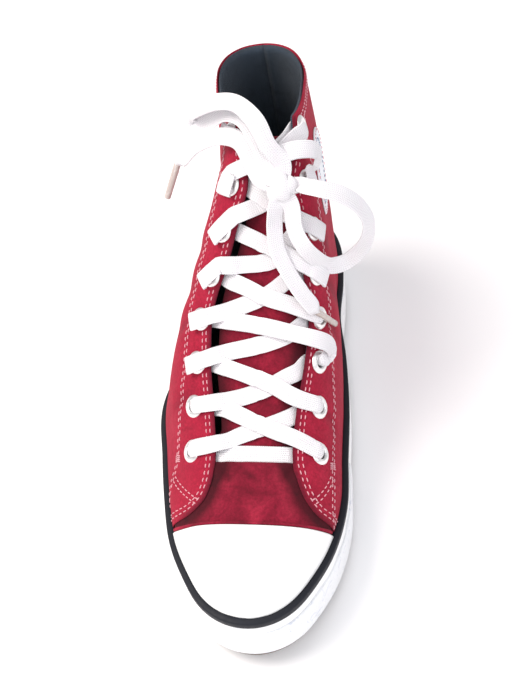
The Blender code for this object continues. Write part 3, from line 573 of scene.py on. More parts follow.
def ribbon(name, route, facing, width=None, hollow=None, seed=0):
    # flat lace: a flattened superellipse carried along a smooth route, its face turned as told.
    # width is a share of the lace's own along the route; what is lost in width is bowed out of flat,
    # and the hollow bows it further. Slow waves of random phase vary its width and its lie
    route = np.asarray(route, float)
    width = np.ones(len(route)) if width is None else np.asarray(width, float)
    hollow = np.zeros(len(route)) if hollow is None else np.asarray(hollow, float)
    length = np.linalg.norm(np.diff(route, axis=0), axis=1).sum()
    values, at = evenly(route, max(12, int(length / lace["steps"])), facing, width, hollow)
    line, face, wide, bend = values[:, :3], values[:, 3:6], values[:, 6], values[:, 7]
    tangent = unit(np.gradient(line, axis=0))
    face = unit(face - tangent * (face * tangent).sum(1)[:, None])
    side = np.cross(tangent, face)
    random = np.random.default_rng(seed)
    waves = random.uniform(0, 2 * math.pi, 6)
    wobble = sum(np.sin(at / (p * mm) + w) for p, w in zip((3.1, 4.7, 7.9), waves)) / 3
    swell = 1 + lace["swell"] * wobble
    turn = fullTurn(28)
    c, s = np.cos(turn), np.sin(turn)
    c, s = np.sign(c) * np.abs(c) ** lace["selvedge"], np.sign(s) * np.abs(s) ** lace["crown"]
    x = c[None] * (lace["width"] / 2 * wide * swell)[:, None]
    lost = lace["width"] / 2 * np.sqrt(np.clip(1 - wide ** 2, 0, 1))
    z = s[None] * lace["thickness"] / 2 * (1 + 0.10 * c[None] ** 8)
    z = z - (c[None] ** 2 - 0.5) * (0.55 * lost + bend)[:, None]
    z = z + (lace["ripple"] * np.sin(at / (5.3 * mm) + waves[4]))[:, None] * c[None]
    points = line[:, None] + side[:, None] * x[..., None] + face[:, None] * z[..., None]
    rows, columns = x.shape
    uv = np.stack(np.broadcast_arrays(c * lace["width"] / 2, at[:, None]), axis=-1)
    faces = gridFaces(rows, columns, wrap=True).tolist()
    for base, centre in ((0, rows * columns), ((rows - 1) * columns, rows * columns + 1)):
        faces += [[base + i, base + (i + 1) % columns, centre] for i in range(columns)]
    points = np.concatenate([points.reshape(-1, 3), line[[0, -1]]])
    uv = np.concatenate([uv.reshape(-1, 2), [[0, at[0]], [0, at[-1]]]]) * mapScale
    return newPiece(name, points, faces, laceCotton, uv), line


# The tied bow. Points are in world mm from the knot outwards; an angle says where on the knot's rim
# a lace leaves: 0 inner side, 90 up the throat, 180 outer side, 270 towards the toe.
bow = {
    "row": 5.95, "arc": 5.5, "lift": 7.5, "half": (7.5, 8.5), "clearance": 1.1, "sunk": -4.5,
    "loopInner": [(33.5, 9.5, 151), (40, 6.5, 151.5), (48, 8, 147.5), (55, 10, 140), (59, 12, 128.5),
                  (56, 13, 114), (48.5, 12, 106), (41.5, 7.5, 107.5), (35.5, 2, 117), (31, 1.2, 124.5),
                  (27.5, 4, 132)],
    "loopInnerAngles": (5, 302),
    "loopOuter": [(17.8, 19.5, 165), (13, 23.5, 175), (4.5, 32, 178), (-4, 37.5, 176), (-14, 41.5, 171),
                  (-20.5, 44, 165.5), (-20, 43.5, 160.5), (-12.5, 42, 163), (-3, 39, 169),
                  (6, 32, 170.5), (13, 22.5, 166)],
    "loopOuterAngles": (88, 128),
    "endInner": [(18.8, 5, 135), (19.5, -0.8, 125), (23.8, -6, 116.5), (29.5, -10.2, 107.5), (35.2, -12, 98.5)],
    "endInnerAngles": (258,), "agletInner": ((35.6, -12, 97.6), (42.6, -4.6, 82)),
    "endOuter": [(9.5, 20, 157.5), (4.5, 26.8, 162.4), (-4, 33.5, 161), (-12, 36.6, 157.8),
                 (-20, 37.5, 153), (-27.5, 36, 146.2)],
    "endOuterAngles": (164,), "agletOuter": ((-27.9, 35.7, 145.6), (-34.5, 29.6, 131)),
    # the knot's turns: angle, half-width and half-height, and shift across and up
    "turns": ((98, 5.4, 3.3, (0, 0)), (28, 6.0, 2.5, (0.6, -1.2)), (150, 5.6, 2.6, (-0.8, 1.4))),
}


def knotFrame():
    # the knot's centre off the last, and its directions to the inner side, up the throat and outwards
    centre, normal = onLast(rowRidge(bow["row"]), bow["arc"] * mm, bow["lift"] * mm)
    ahead, _ = onLast(rowRidge(bow["row"] + 0.3), bow["arc"] * mm, bow["lift"] * mm)
    upwards = ahead - centre
    upwards = unit(upwards - normal * np.dot(upwards, normal))
    return centre, np.cross(upwards, normal), upwards, normal


knotCentre, knotAcross, knotUp, knotNormal = knotFrame()


def knotRim(angle, grow=bow["clearance"]):
    # a point this many mm outside the knot's ellipse, at an angle in degrees
    turn = math.radians(angle)
    return (knotCentre + knotAcross * (bow["half"][0] + grow) * mm * math.cos(turn)
            + knotUp * (bow["half"][1] + grow) * mm * math.sin(turn))


def bowRoute(name):
    # into the knot at each rim, and along the listed points between
    rims = [[knotRim(angle, bow["sunk"]), knotRim(angle)] for angle in bow[name + "Angles"]]
    after = [rims[1][1], rims[1][0]] if len(rims) > 1 else []
    return np.array(rims[0] + [np.array(p) * mm for p in bow[name]] + after)


def bowFacing(route, lean, pull):
    # outwards from the middle of the route, leant towards one direction so that the flat shows
    return pull * unit(route - route.mean(axis=0)) + np.asarray(lean)


def makeBow():
    # two loops and two ends that leave the knot, the ends with their aglets, and the knot's turns
    made = {}
    for name, node, pull, lean in (
            ("loopInner", "bow_loop_inner", 0.45, (0.1, -0.6, 0.75)),
            ("loopOuter", "bow_loop_outer", 0.3, (0.05, -0.75, 0.65))):
        route = bowRoute(name)
        made[name] = ribbon(node, route, bowFacing(route, lean, pull), seed=len(name))
    for name, node, aglet, lean in (("endInner", "bow_end_inner", "agletInner", (0.55, -0.55, 0.6)),
                                    ("endOuter", "bow_end_outer", "agletOuter", (0.0, -0.7, 0.7))):
        start, stop = (np.array(p) * mm for p in bow[aglet])
        route = np.vstack([bowRoute(name), start, start + (stop - start) * 0.25])
        width = np.ones(len(route))
        width[-3:] = 0.8, 0.4, 0.36  # pinched into the aglet
        made[name] = ribbon(node, route, np.tile(lean, (len(route), 1)), width, seed=len(name) + 5)
        made[aglet] = makeAglet(node.replace("end", "aglet"), start, stop)
        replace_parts(made[aglet], node.replace("bow_end", "lace_aglet"))
    knot = makeKnot()
    for name in ("loopInner", "loopOuter", "endInner", "endOuter"):
        piece, line = made[name]
        float(runOf(line)[-1])
        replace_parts(piece, piece.name.replace("bow_", "lace_"))


def makeAglet(name, start, stop):
    # tube of film 1.55 mm in radius with a lapped seam, closed at both ends; its profile is radius in mm, share
    axis = unit(stop - start)
    side = unit(np.cross(axis, (0.3, 0.2, 0.9)))
    other = np.cross(axis, side)
    profile = np.array([(0, 0), (1.35, 0), (1.55, 0.02), (1.55, 0.5), (1.5, 0.97), (1.2, 1), (0, 1)])
    turn = fullTurn(20)
    radius = profile[:, :1] * (1 + 0.07 * (turn < 0.7) * (profile[:, :1] > 0)) * mm
    along = start + (stop - start) * profile[:, 1:]
    points = along[:, None] + radius[..., None] * (
        side * np.cos(turn)[None, :, None] + other * np.sin(turn)[None, :, None])
    return newPiece(name, points, gridFaces(len(profile), 20, wrap=True), agletPlastic)


def makeKnot():
    # three turns of lace round the knot's core, each a flattened ring at its own angle
    pieces = []
    for index, (angle, wide, high, shift) in enumerate(bow["turns"]):
        way = math.radians(angle)
        along = knotAcross * math.cos(way) + knotUp * math.sin(way)
        centre = knotCentre + (knotAcross * shift[0] + knotUp * shift[1]) * mm
        turn = np.linspace(-0.35, 2 * math.pi - 0.15, 26) - math.pi / 2
        out = along * np.cos(turn)[:, None] * wide + knotNormal * np.sin(turn)[:, None] * high
        route = centre + (out + np.cross(along, knotNormal) * np.linspace(-1.1, 1.1, 26)[:, None]) * mm
        facing = along * np.cos(turn)[:, None] * high + knotNormal * np.sin(turn)[:, None] * wide
        pieces.append(ribbon(f"bow_knot_turn_{index + 1}", route, facing, np.full(26, 0.88),
                             np.full(26, 0.5 * mm), seed=30 + index)[0])
    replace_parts(pieces[0], "lace_knot")
    return pieces


makeBow()
print("bow made")


# Edge of the stays and quarters on each side, from the tip beside the toe cap up to the collar:
# eyelet row and distance from the ridge in mm
upper = {
    -1: [(-1.52, 66), (-1.47, 54), (-1.42, 44), (-1.33, 30.5), (-1.1, 23.6), (-0.77, 20), (-0.4, 18.4),
         (0, 18.1), (1, 19.8), (2, 22.2), (3, 22.5), (3.55, 20.5), (4.2, 16.5), (5, 13.2), (5.5, 11),
         (6, 8.8), (6.6, 10), (7.33, 12)],
    1: [(-1.52, 64), (-1.49, 50), (-1.43, 39), (-1.32, 29.1), (-1.08, 23.4), (-0.77, 19.9), (-0.31, 17),
        (0, 16.6), (1, 18.3), (2, 21.3), (3, 22.8), (4, 18.5), (5, 14), (6, 9), (6.7, 11.2), (7.33, 13)],
    "vampFront": 27 * mm, "vampBack": 61.5 * mm, "uneven": 0.10 * mm,
}
sides = ((-1, "outer"), (1, "inner"))


def flatCurve(route, count):
    # smooth line through (eyelet row, distance from the ridge, lift) points, with the rows turned to metres
    table = np.array([(*point, 0)[:3] for point in route], float)
    return evenly(table * [last["eyeletPitch"], mm, mm], count)[0]


def edgeCurve(side, count=150):
    # the stay's edge as ridge stations and distances from the ridge, held inside the upper
    values = flatCurve(upper[side], count)
    ridge = np.minimum(rowRidge(values[:, 0] / last["eyeletPitch"]), last["collarFront"])
    return ridge, np.minimum(values[:, 1], lineLength(ridge, side) - 0.2 * mm)


def edgeArc(row, side):
    # distance of the stay's edge from the ridge at an eyelet row
    ridge, arc = edgeCurve(side, 400)
    return np.interp(rowRidge(row), ridge, arc)


# Bends worn into the leather, listed one by one: (eyelet row, distance from the ridge) along each, depth and
# half-width, in mm
creases = [
    ([(-1.18, -26), (-0.98, -12), (-0.93, 0), (-1.0, 12), (-1.14, 24)], 0.35, 3.4),
    ([(-0.66, -17), (-0.56, -7), (-0.58, 6), (-0.68, 16)], 0.2, 2.6),
    ([(0.9, -52), (1.15, -40), (1.3, -30)], 0.6, 3.4),
    ([(0.4, 50), (0.75, 40), (1.0, 30)], 0.6, 3.2),
    ([(3.1, -70), (3.5, -54), (3.75, -40), (3.85, -29)], 0.45, 4.2),
    ([(4.1, -82), (4.45, -64), (4.6, -46), (4.65, -30)], 0.4, 4.0),
    ([(2.5, -54), (2.85, -44), (3.05, -34)], 0.7, 3.4),
    ([(3.2, 72), (3.5, 56), (3.72, 42), (3.82, 31)], 0.9, 4.4),
    ([(4.3, 84), (4.6, 66), (4.7, 48), (4.72, 31)], 0.8, 4.0),
    ([(2.4, 58), (2.75, 46), (2.95, 35)], 0.7, 3.4),
    ([(0.55, 27), (0.5, 33), (0.42, 41)], 0.35, 1.5),
    ([(0.55, -28), (0.5, -34), (0.42, -41)], 0.35, 1.5),
    ([(-0.18, -18), (-0.36, -15), (-0.6, -12), (-0.85, -11)], 0.9, 1.9),
    ([(-0.18, 20), (-0.4, 17), (-0.62, 14.5), (-0.8, 14)], 0.8, 1.9),
    ([(-0.22, -8), (-0.46, -4), (-0.7, 2), (-0.8, 8)], 0.4, 1.8),
    ([(5.6, -96), (5.9, -78), (6.0, -62)], 0.6, 4.6),
]


def creaseLift(ridge, arc):
    # soft trough beside two low swells along each crease, dying away to both ends, over a slight unevenness
    points = lastPoint(ridge, arc)
    shape = points.shape[:-1]
    points = points.reshape(-1, 3)
    lift = np.zeros(len(points))
    reach = 75 * mm  # past the longest crease's half
    for route, depth, width in creases:
        rows, arcs = np.array(route, float).T
        line, _ = evenly(lastPoint(rowRidge(rows), arcs * mm), 26)
        start, step = line[:-1], np.diff(line, axis=0)
        near = np.linalg.norm(points - line[len(line) // 2], axis=1) < reach
        away = points[near][:, None] - start[None]
        share = np.clip((away * step).sum(-1) / (step ** 2).sum(-1), 0, 1)
        gap = np.linalg.norm(away - share[..., None] * step, axis=-1)
        nearest = gap.argmin(1)
        pick = np.arange(len(nearest))
        gap, at = gap[pick, nearest], (nearest + share[pick, nearest]) / len(step)
        fade = np.sin(math.pi * np.clip(at, 0.001, 0.999)) ** 0.7
        gap /= width * mm
        lift[near] -= depth * mm * fade * (bell(gap, 1) - 0.5 * bell(gap - 1.9, 1))
    x, y, z = points.T / mm
    lift += upper["uneven"] * (np.sin(x / 5.1 + y / 7.7 + 1) * np.sin(z / 6.3 + y / 9.1)
                               + 0.6 * np.sin(x / 2.9 - z / 3.7) * np.sin(y / 3.3))
    return lift.reshape(shape)


def creaseShadeAndDirt(ridge, arc):
    # tone of painted shade, with some dirt, darkening the suede where the leather creases inwards
    return 0.45 * np.clip(-creaseLift(ridge, arc) / (0.6 * mm) - 0.15, 0, 1)


def quarterSkin(ridge, arc, lift):
    # creased and standing out to the rubber at its foot
    ridge, arc = np.broadcast_arrays(ridge, arc)
    points, normal = onLast(ridge, arc, lift + creaseLift(ridge, arc))
    return standOut(points, pressed["meets"] - 0.7 * mm + lift, pressed["quarter"]), normal


# The pressed ring's section is radius and height in mm: barrel, rolled lip at the hole, domed flange
eyelet = {
    "rows": 8, "drill": 3.4 * mm, "depth": 9 * mm,
    "section": [(2.62, -2.2), (2.60, 0.4), (2.64, 1.1), (2.85, 1.55), (3.3, 1.78), (3.9, 1.72), (4.6, 1.42),
                (5.15, 1.05), (5.45, 0.72), (5.38, 0.55), (4.6, 0.55), (3.35, 0.5), (3.3, -2.0), (3.7, -2.3),
                (3.2, -2.45)],
}


def eyeletFrame(row, side):
    # an eyelet's centre, and the matrix that turns +Z out of the leather there
    centre, normal = onLast(rowRidge(row), eyeletArc(row, side))
    return Vector(centre).copy(), Vector(normal).to_track_quat("Z", "Y").to_matrix().to_4x4()


def drillEyelets(piece, side):
    # round holes a little wider than the eyelets' barrels, cut right through
    work = bmesh.new()
    for row in range(eyelet["rows"]):
        centre, turn = eyeletFrame(row, side)
        bmesh.ops.create_cone(work, cap_ends=True, segments=28, radius1=eyelet["drill"],
                              radius2=eyelet["drill"], depth=eyelet["depth"],
                              matrix=Matrix.Translation(centre) @ turn)
    mesh = bpy.data.meshes.new("drill")
    work.to_mesh(mesh)
    work.free()
    drill = addObject("drill", mesh)
    change = piece.modifiers.new("holes", "BOOLEAN")
    change.operation, change.object, change.solver = "DIFFERENCE", drill, "EXACT"
    cutMesh = bpy.data.meshes.new_from_object(piece.evaluated_get(bpy.context.evaluated_depsgraph_get()))
    piece.modifiers.clear()
    piece.data = cutMesh
    bpy.data.objects.remove(drill)


def spread(start, end, count, power=1.0):
    # rows of values from start to end, crowded towards the start by the power
    share = np.linspace(0, 1, count) ** power
    return start[:, None] + (end - start)[:, None] * share


def bothSides(share, outer, inner):
    # distance from the ridge at a share from -1 to 1: of one length on the outer side, another on the inner
    return np.where(share < 0, share * outer, share * inner)


def edgeGap(points, side):
    # distance of each point from the stay's edge
    ridge, arc = edgeCurve(side, 110)
    line = onLast(ridge, side * arc, 0.2 * mm)[0]
    flat = points.reshape(-1, 3)
    gap = [np.linalg.norm(part[:, None] - line[None], axis=-1).min(1) for part in np.array_split(flat, 12)]
    return np.concatenate(gap).reshape(points.shape[:-1])


# Painted shade, with some dirt, on the suede beside the stays' edges and in the creases: its tone, and how far
# it reaches
paintedShadeAndDirt = {
    "quarter": (0.92, 2.3 * mm), "vamp": (0.95, 5 * mm), "vampHaze": (0.4, 9 * mm),
    "throat": (0.6, 9 * mm), "throatRidge": (52 * mm, 60 * mm), "vampMost": 0.96, "vampCreases": 1.6,
    "tongue": (0.97, 4.6 * mm), "tongueHeld": 3.6 * mm,
}


def makeUpper():
    # quarters from the edge of the stays down to the rubber, each with its lining, and the vamp between them
    for side, name in sides:
        ridge, edge = edgeCurve(side, 190)
        arc = side * spread(edge, lineLength(ridge, side), 120, 1.35)
        skin = quarterSkin(ridge[:, None], arc, 0.25 * mm)
        # painted shade, with some dirt, along the stay's own edge and in the creases
        tone, reach = paintedShadeAndDirt["quarter"]
        shadeAndDirt = np.maximum(tone * bell(np.minimum(edgeGap(skin[0], side), 20 * mm), reach),
                          creaseShadeAndDirt(ridge[:, None], arc))
        quarter = slab("quarter_" + name, skin, 0.45 * mm, quarterSuede, sharp=("last",), shade=shadeAndDirt)
        drillEyelets(quarter, side)
        if side < 0:
            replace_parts(quarter, "upper")
        ridge = np.linspace(60 * mm, last["collarFront"], 110)
        rows = np.linspace(0, 7.4, 200)
        edge = np.interp(ridge, rowRidge(rows), edgeArc(rows, side)) + 0.8 * mm
        arc = side * spread(edge, lineLength(ridge, side), 90, 1.25)
        skin = onLast(ridge[:, None], arc, -1.1 * mm + creaseLift(ridge[:, None], arc))
        drillEyelets(slab("lining_" + name, skin, 0.8 * mm, liningCanvas, rim=0.9 * mm, sharp=("last",)), side)
    ridge = np.linspace(upper["vampFront"], upper["vampBack"], 60)[:, None]
    arc = bothSides(np.linspace(-1, 1, 171), lineLength(ridge, -1), lineLength(ridge, 1))
    skin = quarterSkin(ridge, arc, -0.75 * mm)
    # painted shade cast on the vamp beside and under the stays' edges, a wider haze of it, more towards the
    # throat, and in the creases, with some dirt
    gap = np.minimum(edgeGap(skin[0], -1), edgeGap(skin[0], 1))
    (near, nearReach), (haze, hazeReach), (throat, throatReach) = (
        paintedShadeAndDirt[key] for key in ("vamp", "vampHaze", "throat"))
    start, end = paintedShadeAndDirt["throatRidge"]
    shadeAndDirt = near * bell(gap, nearReach) + haze * np.exp(-gap / hazeReach)
    shadeAndDirt = shadeAndDirt + throat * bell(gap, throatReach) * np.clip((ridge - start) / (end - start), 0, 1)
    shadeAndDirt = np.maximum(np.clip(shadeAndDirt, 0, paintedShadeAndDirt["vampMost"]), paintedShadeAndDirt["vampCreases"] * creaseShadeAndDirt(ridge, arc))
    slab("vamp", skin, 0.5 * mm, shadedVampSuede, shade=shadeAndDirt)


tongue = {
    "root": 52 * mm, "tip": 162 * mm, "halfAtRoot": 29, "narrowing": 3, "corner": 8 * mm, "pulled": 1.5 * mm,
    "gapRows": [-0.2, 0.5, 1.5, 5.5, 6.3, 6.8], "gaps": [-8, 0.9, 1.6, 1.6, 0.7, -3],
    "ripple": 0.2 * mm, "suede": -3.75 * mm, "lining": -5.0 * mm,
}


def makeTongue():
    # padded flap whose width follows the CAD's, its top corners rounded. It is pulled towards the inner side,
    # so that a dark gap is left beside the outer stay, and ripples a little
    root, tip = tongue["root"], tongue["tip"]
    ridge = np.linspace(root, tip, 130)[:, None]
    grow = (ridge - root) / (tip - root)
    corner = rounded(tip - ridge, tongue["corner"])
    half = (tongue["halfAtRoot"] - tongue["narrowing"] * grow) * mm * (0.72 + 0.28 * corner)
    rows = np.linspace(-2, 9, 111)
    row = np.interp(ridge, rowRidge(rows), rows)
    gap = np.interp(row, tongue["gapRows"], tongue["gaps"]) * mm
    gap += 0.5 * mm * np.sin(row * 2.9) * (gap > 0)
    outerHalf = np.minimum(half, edgeArc(np.clip(row, -1, 7.3), -1) - gap)
    arc = bothSides(np.linspace(-1, 1, 91), outerHalf, half + tongue["pulled"])
    ripple = tongue["ripple"] * (np.sin(ridge / (4.1 * mm) + 1.3 * np.sin(arc / (6 * mm)))
                                 * np.cos(arc / (9 * mm)))
    skin = onLast(ridge, arc, tongue["suede"] + ripple)
    # painted shade on the tongue where the stays' edges shadow it, beside the dark gap
    gap = np.minimum(edgeGap(skin[0], -1), edgeGap(skin[0], 1))
    tone, reach = paintedShadeAndDirt["tongue"]
    shadeAndDirt = tone * bell(np.maximum(gap - paintedShadeAndDirt["tongueHeld"], 0), reach)
    outer = slab("tongue_suede", skin, 0.65 * mm, shadedTongueSuede, rim=1.1 * mm, shade=shadeAndDirt)
    slab("tongue_lining", onLast(ridge, arc, tongue["lining"] + ripple), 0.6 * mm, liningCanvas, rim=1.0 * mm)
    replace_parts(outer, "tongue")


makeUpper()
makeTongue()
print("upper and tongue made")


sole = {
    "offset": 4.0 * mm, "bulge": 0.35, "inner": 1.1 * mm, "wave": 0.12 * mm,
    "bumperEnd": 90 * mm, "bumper": (0.10, 0.80), "bumperThickness": 1.0 * mm, "bumperStart": 0.15,
    "insoleInset": -4.6 * mm, "insole": (0.35 * mm, 3.4 * mm),
    "tread": 1.8 * mm, "ribPitch": 2.75 * mm, "rib": 0.45 * mm, "border": -5 * mm, "groovePitch": 11,
    "groove": 1.6, "forefoot": (20 * mm, 131 * mm), "heel": (194 * mm, 252 * mm),
    # sections from the foot up the outside and down the inside: share of the height, and mm out
    "foxingSection": [(0, -0.5), (0.02, -0.15), (0.1, 0), (0.3, 1), (0.5, 1.2), (0.7, 1), (0.9, 0),
                      (0.965, -0.15), (0.99, -0.35), (1.0, -0.6), (1.0, -1.6), (0.985, -2.5), (0.9, -2.5),
                      (0.5, -2.5)],
    "stripeSection": [(0, 3.9), (0.06, 4.2), (0.2, 4.3), (0.5, 4.32), (0.8, 4.28), (0.93, 4.15), (1.0, 3.9),
                      (1.0, 1.3), (0.97, 1.0), (0.03, 1.0), (0, 1.2)],
    "bumperSection": [(0, -0.3), (0, 0.45), (0.03, 0.8), (0.08, 1), (0.3, 1), (0.5, 1), (0.7, 1), (0.92, 1),
                      (0.97, 0.8), (1, 0.45), (1, -0.3)],
}


def soleRing(name, profile, material, angles, closed=True):
    # a cross-section carried round the sole's outline; profile(station, angle) gives its offsets from the
    # outline and its heights, a row for each angle
    station = outlinePoints(angles, 0.0)[:, 1]
    offsets, heights = profile(np.clip(station, 0, last["length"]), angles)
    columns = offsets.shape[1]
    plan = np.stack([outlinePoints(angles, offsets[:, j]) for j in range(columns)], axis=1)
    points = place(np.concatenate([plan, heights[..., None]], axis=-1))
    run = runOf(points[:, 0])
    uv = np.stack([np.broadcast_to(run[:, None], heights.shape), runOf(points, 1)], axis=-1) * mapScale
    if closed:
        return newPiece(name, np.swapaxes(points, 0, 1), gridFaces(columns, len(angles), wrap=True, ring=True),
                        material, np.swapaxes(uv, 0, 1))
    number = np.arange(heights.size).reshape(heights.shape)
    faces = gridFaces(len(angles), columns, wrap=True).tolist() + number[[0, -1]].tolist()  # with both ends
    return newPiece(name, points, faces, material, uv)


def soleSlab(name, offset, low, high, material, rows, columns, edge=0.8 * mm):
    # from each side of the outline to the other: a lower face, and an upper face back across, its rim rounded
    angle = np.linspace(0, math.pi, rows)
    share = np.linspace(-1, 1, columns)
    share = np.sign(share) * (1 - (1 - np.abs(share)) ** 1.25)

    def across(inset):
        # plan points from the left of the outline to its right, the outline drawn in by the inset
        right, left = outlinePoints(angle, offset - inset), outlinePoints(-angle, offset - inset)
        return left[:, None] + (right - left)[:, None] * (share[None, :, None] + 1) / 2

    def strip(plan, which, heights):
        # the columns asked for, each plan point with its height
        return np.concatenate([plan[:, which], heights[:, which, None]], axis=-1)

    face, wall = across(edge), across(0)
    station = np.clip(face[..., 1], 0, last["length"])
    lowest, highest = low(face[..., 0], station), high(face[..., 0], station)
    right, left, back = slice(-1, None), slice(0, 1), slice(None, None, -1)
    points = place(np.concatenate([
        strip(face, slice(None), lowest),
        strip(wall, right, lowest + edge), strip(wall, right, highest - edge * 0.6),
        strip(face, back, highest),
        strip(wall, left, highest - edge * 0.6), strip(wall, left, lowest + edge)], axis=1))
    return newPiece(name, points, gridFaces(rows, points.shape[1], wrap=True), material,
                    points[..., :2] * mapScale)


def soleHeight(station, share):
    # a share of the way up the foxing, from a little under the outsole's top
    low = toeSpring(station) + last["outsole"] - 1.6 * mm
    return low + (foxingTop(station) - low) * share


def bedHeight(station):
    # top of the midsole's bed, which follows the toe spring
    return last["bed"] + toeSpring(station)


def outsoleTop(x, station):
    # the outsole's thickness over the toe spring, the same right across
    return toeSpring(station) + last["outsole"]


def foxingProfile(station, angle):
    # the wall's section, bulged at mid-height and slightly wavy round the shoe, then down past the bed
    shares, out = np.array(sole["foxingSection"]).T
    out = np.where(out > 0, out * sole["bulge"], out)
    offsets = np.broadcast_to(sole["offset"] + out * mm, (len(station), len(out))).copy()
    offsets[:, 2:7] += sole["wave"] * np.sin(angle * 23 + 2 * np.sin(angle * 7))[:, None]
    bed = bedHeight(station)[:, None]
    heights = np.concatenate([soleHeight(station[:, None], shares[None]), bed, bed - 6 * mm], axis=1)
    return np.concatenate([offsets, np.full((len(station), 2), sole["inner"])], axis=1), heights


def stripeProfile(station, angle):
    # a band on top of the foxing, its outer face a shallow arc
    low, high = foxingTop(station) + 0.3 * mm, stripeTop(station)
    shares, out = np.array(sole["stripeSection"]).T
    return np.broadcast_to(out * mm, (len(station), len(out))), low[:, None] + (high - low)[:, None] * shares


def bumperProfile(station, angle):
    # a strip on the foxing with rounded edges, thinning over its last stretch to both ends
    share, out = np.array(sole["bumperSection"]).T
    start = sole["bumperStart"]
    fade = start + (1 - start) * rounded((np.abs(angle).max() - np.abs(angle)) * 90 * mm, 1.0 * mm)
    low, high = sole["bumper"]
    offsets = sole["offset"] + 0.25 * mm + sole["bumperThickness"] * out[None] * fade[:, None]
    return offsets, soleHeight(station[:, None], low + (high - low) * share[None])


def treadHeight(x, station):
    # grooves across the forefoot and heel, ribs between them, a plain waist, and a raised border
    pitch = sole["groovePitch"]
    grooves = np.abs((station / mm - 24 + pitch / 2) % pitch - pitch / 2) < sole["groove"]
    fore, heel = ((station > start) & (station < end) for start, end in (sole["forefoot"], sole["heel"]))
    left, right = (outlinePoints(side * angleOf(station), sole["border"])[..., 0] for side in (-1, 1))
    inside = (x > left) & (x < right) & (fore | heel)
    ribs = sole["rib"] * (np.sin(2 * math.pi * station / sole["ribPitch"]) > 0)
    return toeSpring(station) + np.where(inside, np.where(grooves, sole["tread"], ribs), 0)


def makeSole():
    # rings round the outline for the wall, its stripe and its bumper, and slabs across for the rest
    angles = np.linspace(-math.pi, math.pi, 480, endpoint=False)
    foxing = soleRing("foxing", foxingProfile, foxingRubber, angles)
    stripe = soleRing("foxing_stripe_band", stripeProfile, stripeRubber, angles)
    end = float(angleOf(sole["bumperEnd"]))
    soleRing("toe_bumper", bumperProfile, bumperRubber, np.linspace(-end, end, 320), closed=False)
    soleSlab("midsole", sole["inner"] - 0.05 * mm, lambda x, s: outsoleTop(x, s) + 0.3 * mm,
             lambda x, s: bedHeight(s), foxingRubber, 90, 16)
    outsole = soleSlab("outsole_tread", sole["offset"] - 0.75 * mm, treadHeight, outsoleTop, outsoleRubber,
                       560, 64)
    low, high = sole["insole"]
    insole = soleSlab("insole_sock", sole["insoleInset"], lambda x, s: bedHeight(s) + low,
                      lambda x, s: bedHeight(s) + high, insoleCanvas, 120, 30)
    for piece, node in ((foxing, "midsole_foxing"), (stripe, "foxing_stripe"), (outsole, "outsole"),
                        (insole, "insole")):
        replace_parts(piece, node)


def arcAtHeight(ridge, side, heightOf):
    # distance from the ridge at which a girth line comes down to a height, by halving
    low, high = np.zeros_like(ridge), lineLength(ridge, side)
    for _ in range(26):
        middle = (low + high) / 2
        points = lastPoint(ridge, side * middle)
        above = points[..., 2] > heightOf(points[..., 1] + last["length"] / 2)
        low, high = np.where(above, middle, low), np.where(above, high, middle)
    return low


cap = {"lean": 22, "lap": 1 * mm, "lift": 1.15 * mm, "half": 0.8 * mm}


def makeToeCap():
    # from the toe back to a plane leaning over by the cap's angle, found by halving, and down to just under
    # the stripe's top
    table = np.linspace(0, 52 * mm, 60)
    cut = np.stack([arcAtHeight(table, side, lambda s: stripeTop(s) - cap["lap"]) for side in (-1, 1)])
    share = np.linspace(-1, 1, 181)
    crown = np.array([last["capEnd"], sectionAt("ridge", np.array(last["capEnd"]))])
    lean = math.radians(cap["lean"])

    def arcFor(ridge, share):
        # the share of the cut's own half-width there
        return bothSides(share, *(np.interp(ridge, table, side) for side in cut))
    low, high = np.full(181, 20 * mm), np.full(181, 51 * mm)
    for _ in range(26):
        middle = (low + high) / 2
        points = onLast(middle, arcFor(middle, share), 1.2 * mm)[0]
        behind = ((points[:, 1] + last["length"] / 2 - crown[0]) * math.cos(lean)
                  + (points[:, 2] - crown[1]) * math.sin(lean)) > 0
        low, high = np.where(behind, low, middle), np.where(behind, middle, high)
    first = np.interp(stripeTop(np.array(4 * mm)) - cap["lap"], sectionAt("ridge", table), table)
    rows = np.linspace(0, 1, 120)[:, None] ** 1.6
    ridge = first + rows * (low - first)
    arc = arcFor(ridge, share)
    points, normal = onLast(ridge, arc, cap["lift"])
    points = standOut(points, pressed["capMeets"] - cap["half"], pressed["cap"])
    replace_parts(slab("toe_cap_rubber", (points, normal), cap["half"], capRubber, rim=0.9 * mm), "toe_cap")
    # a thin strip of the vamp's suede stands just behind the cap, making a thin dark-red line there
    fold = np.linspace(0.2, 1.5, 5)[:, None] * mm
    ridge = low[None, 6:-6] + fold
    arc = arcFor(ridge, share[6:-6])
    slab("vamp_strip_behind_cap", quarterSkin(ridge, arc, 0.25 * mm), 0.55 * mm, shadedVampSuede, rim=0.5 * mm)


def makeEyelets():
    # the section turned about the axis of each hole
    radius, height = np.array(eyelet["section"]).T[..., None] * mm
    turn = fullTurn(32)
    ring = np.stack([radius * np.cos(turn), radius * np.sin(turn), height + 0 * turn], axis=-1)
    faces = gridFaces(*ring.shape[:2], wrap=True, ring=True)
    for side, name in sides:
        for row in range(eyelet["rows"]):
            centre, matrix = eyeletFrame(row, side)
            points = ring.reshape(-1, 3) @ np.array(matrix.to_3x3()).T + np.array(centre)
            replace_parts(newPiece(f"eyelet_ring_{name}_{row + 1}", points, faces, eyeletSteel),
                        f"eyelet_{name}_{row + 1}")


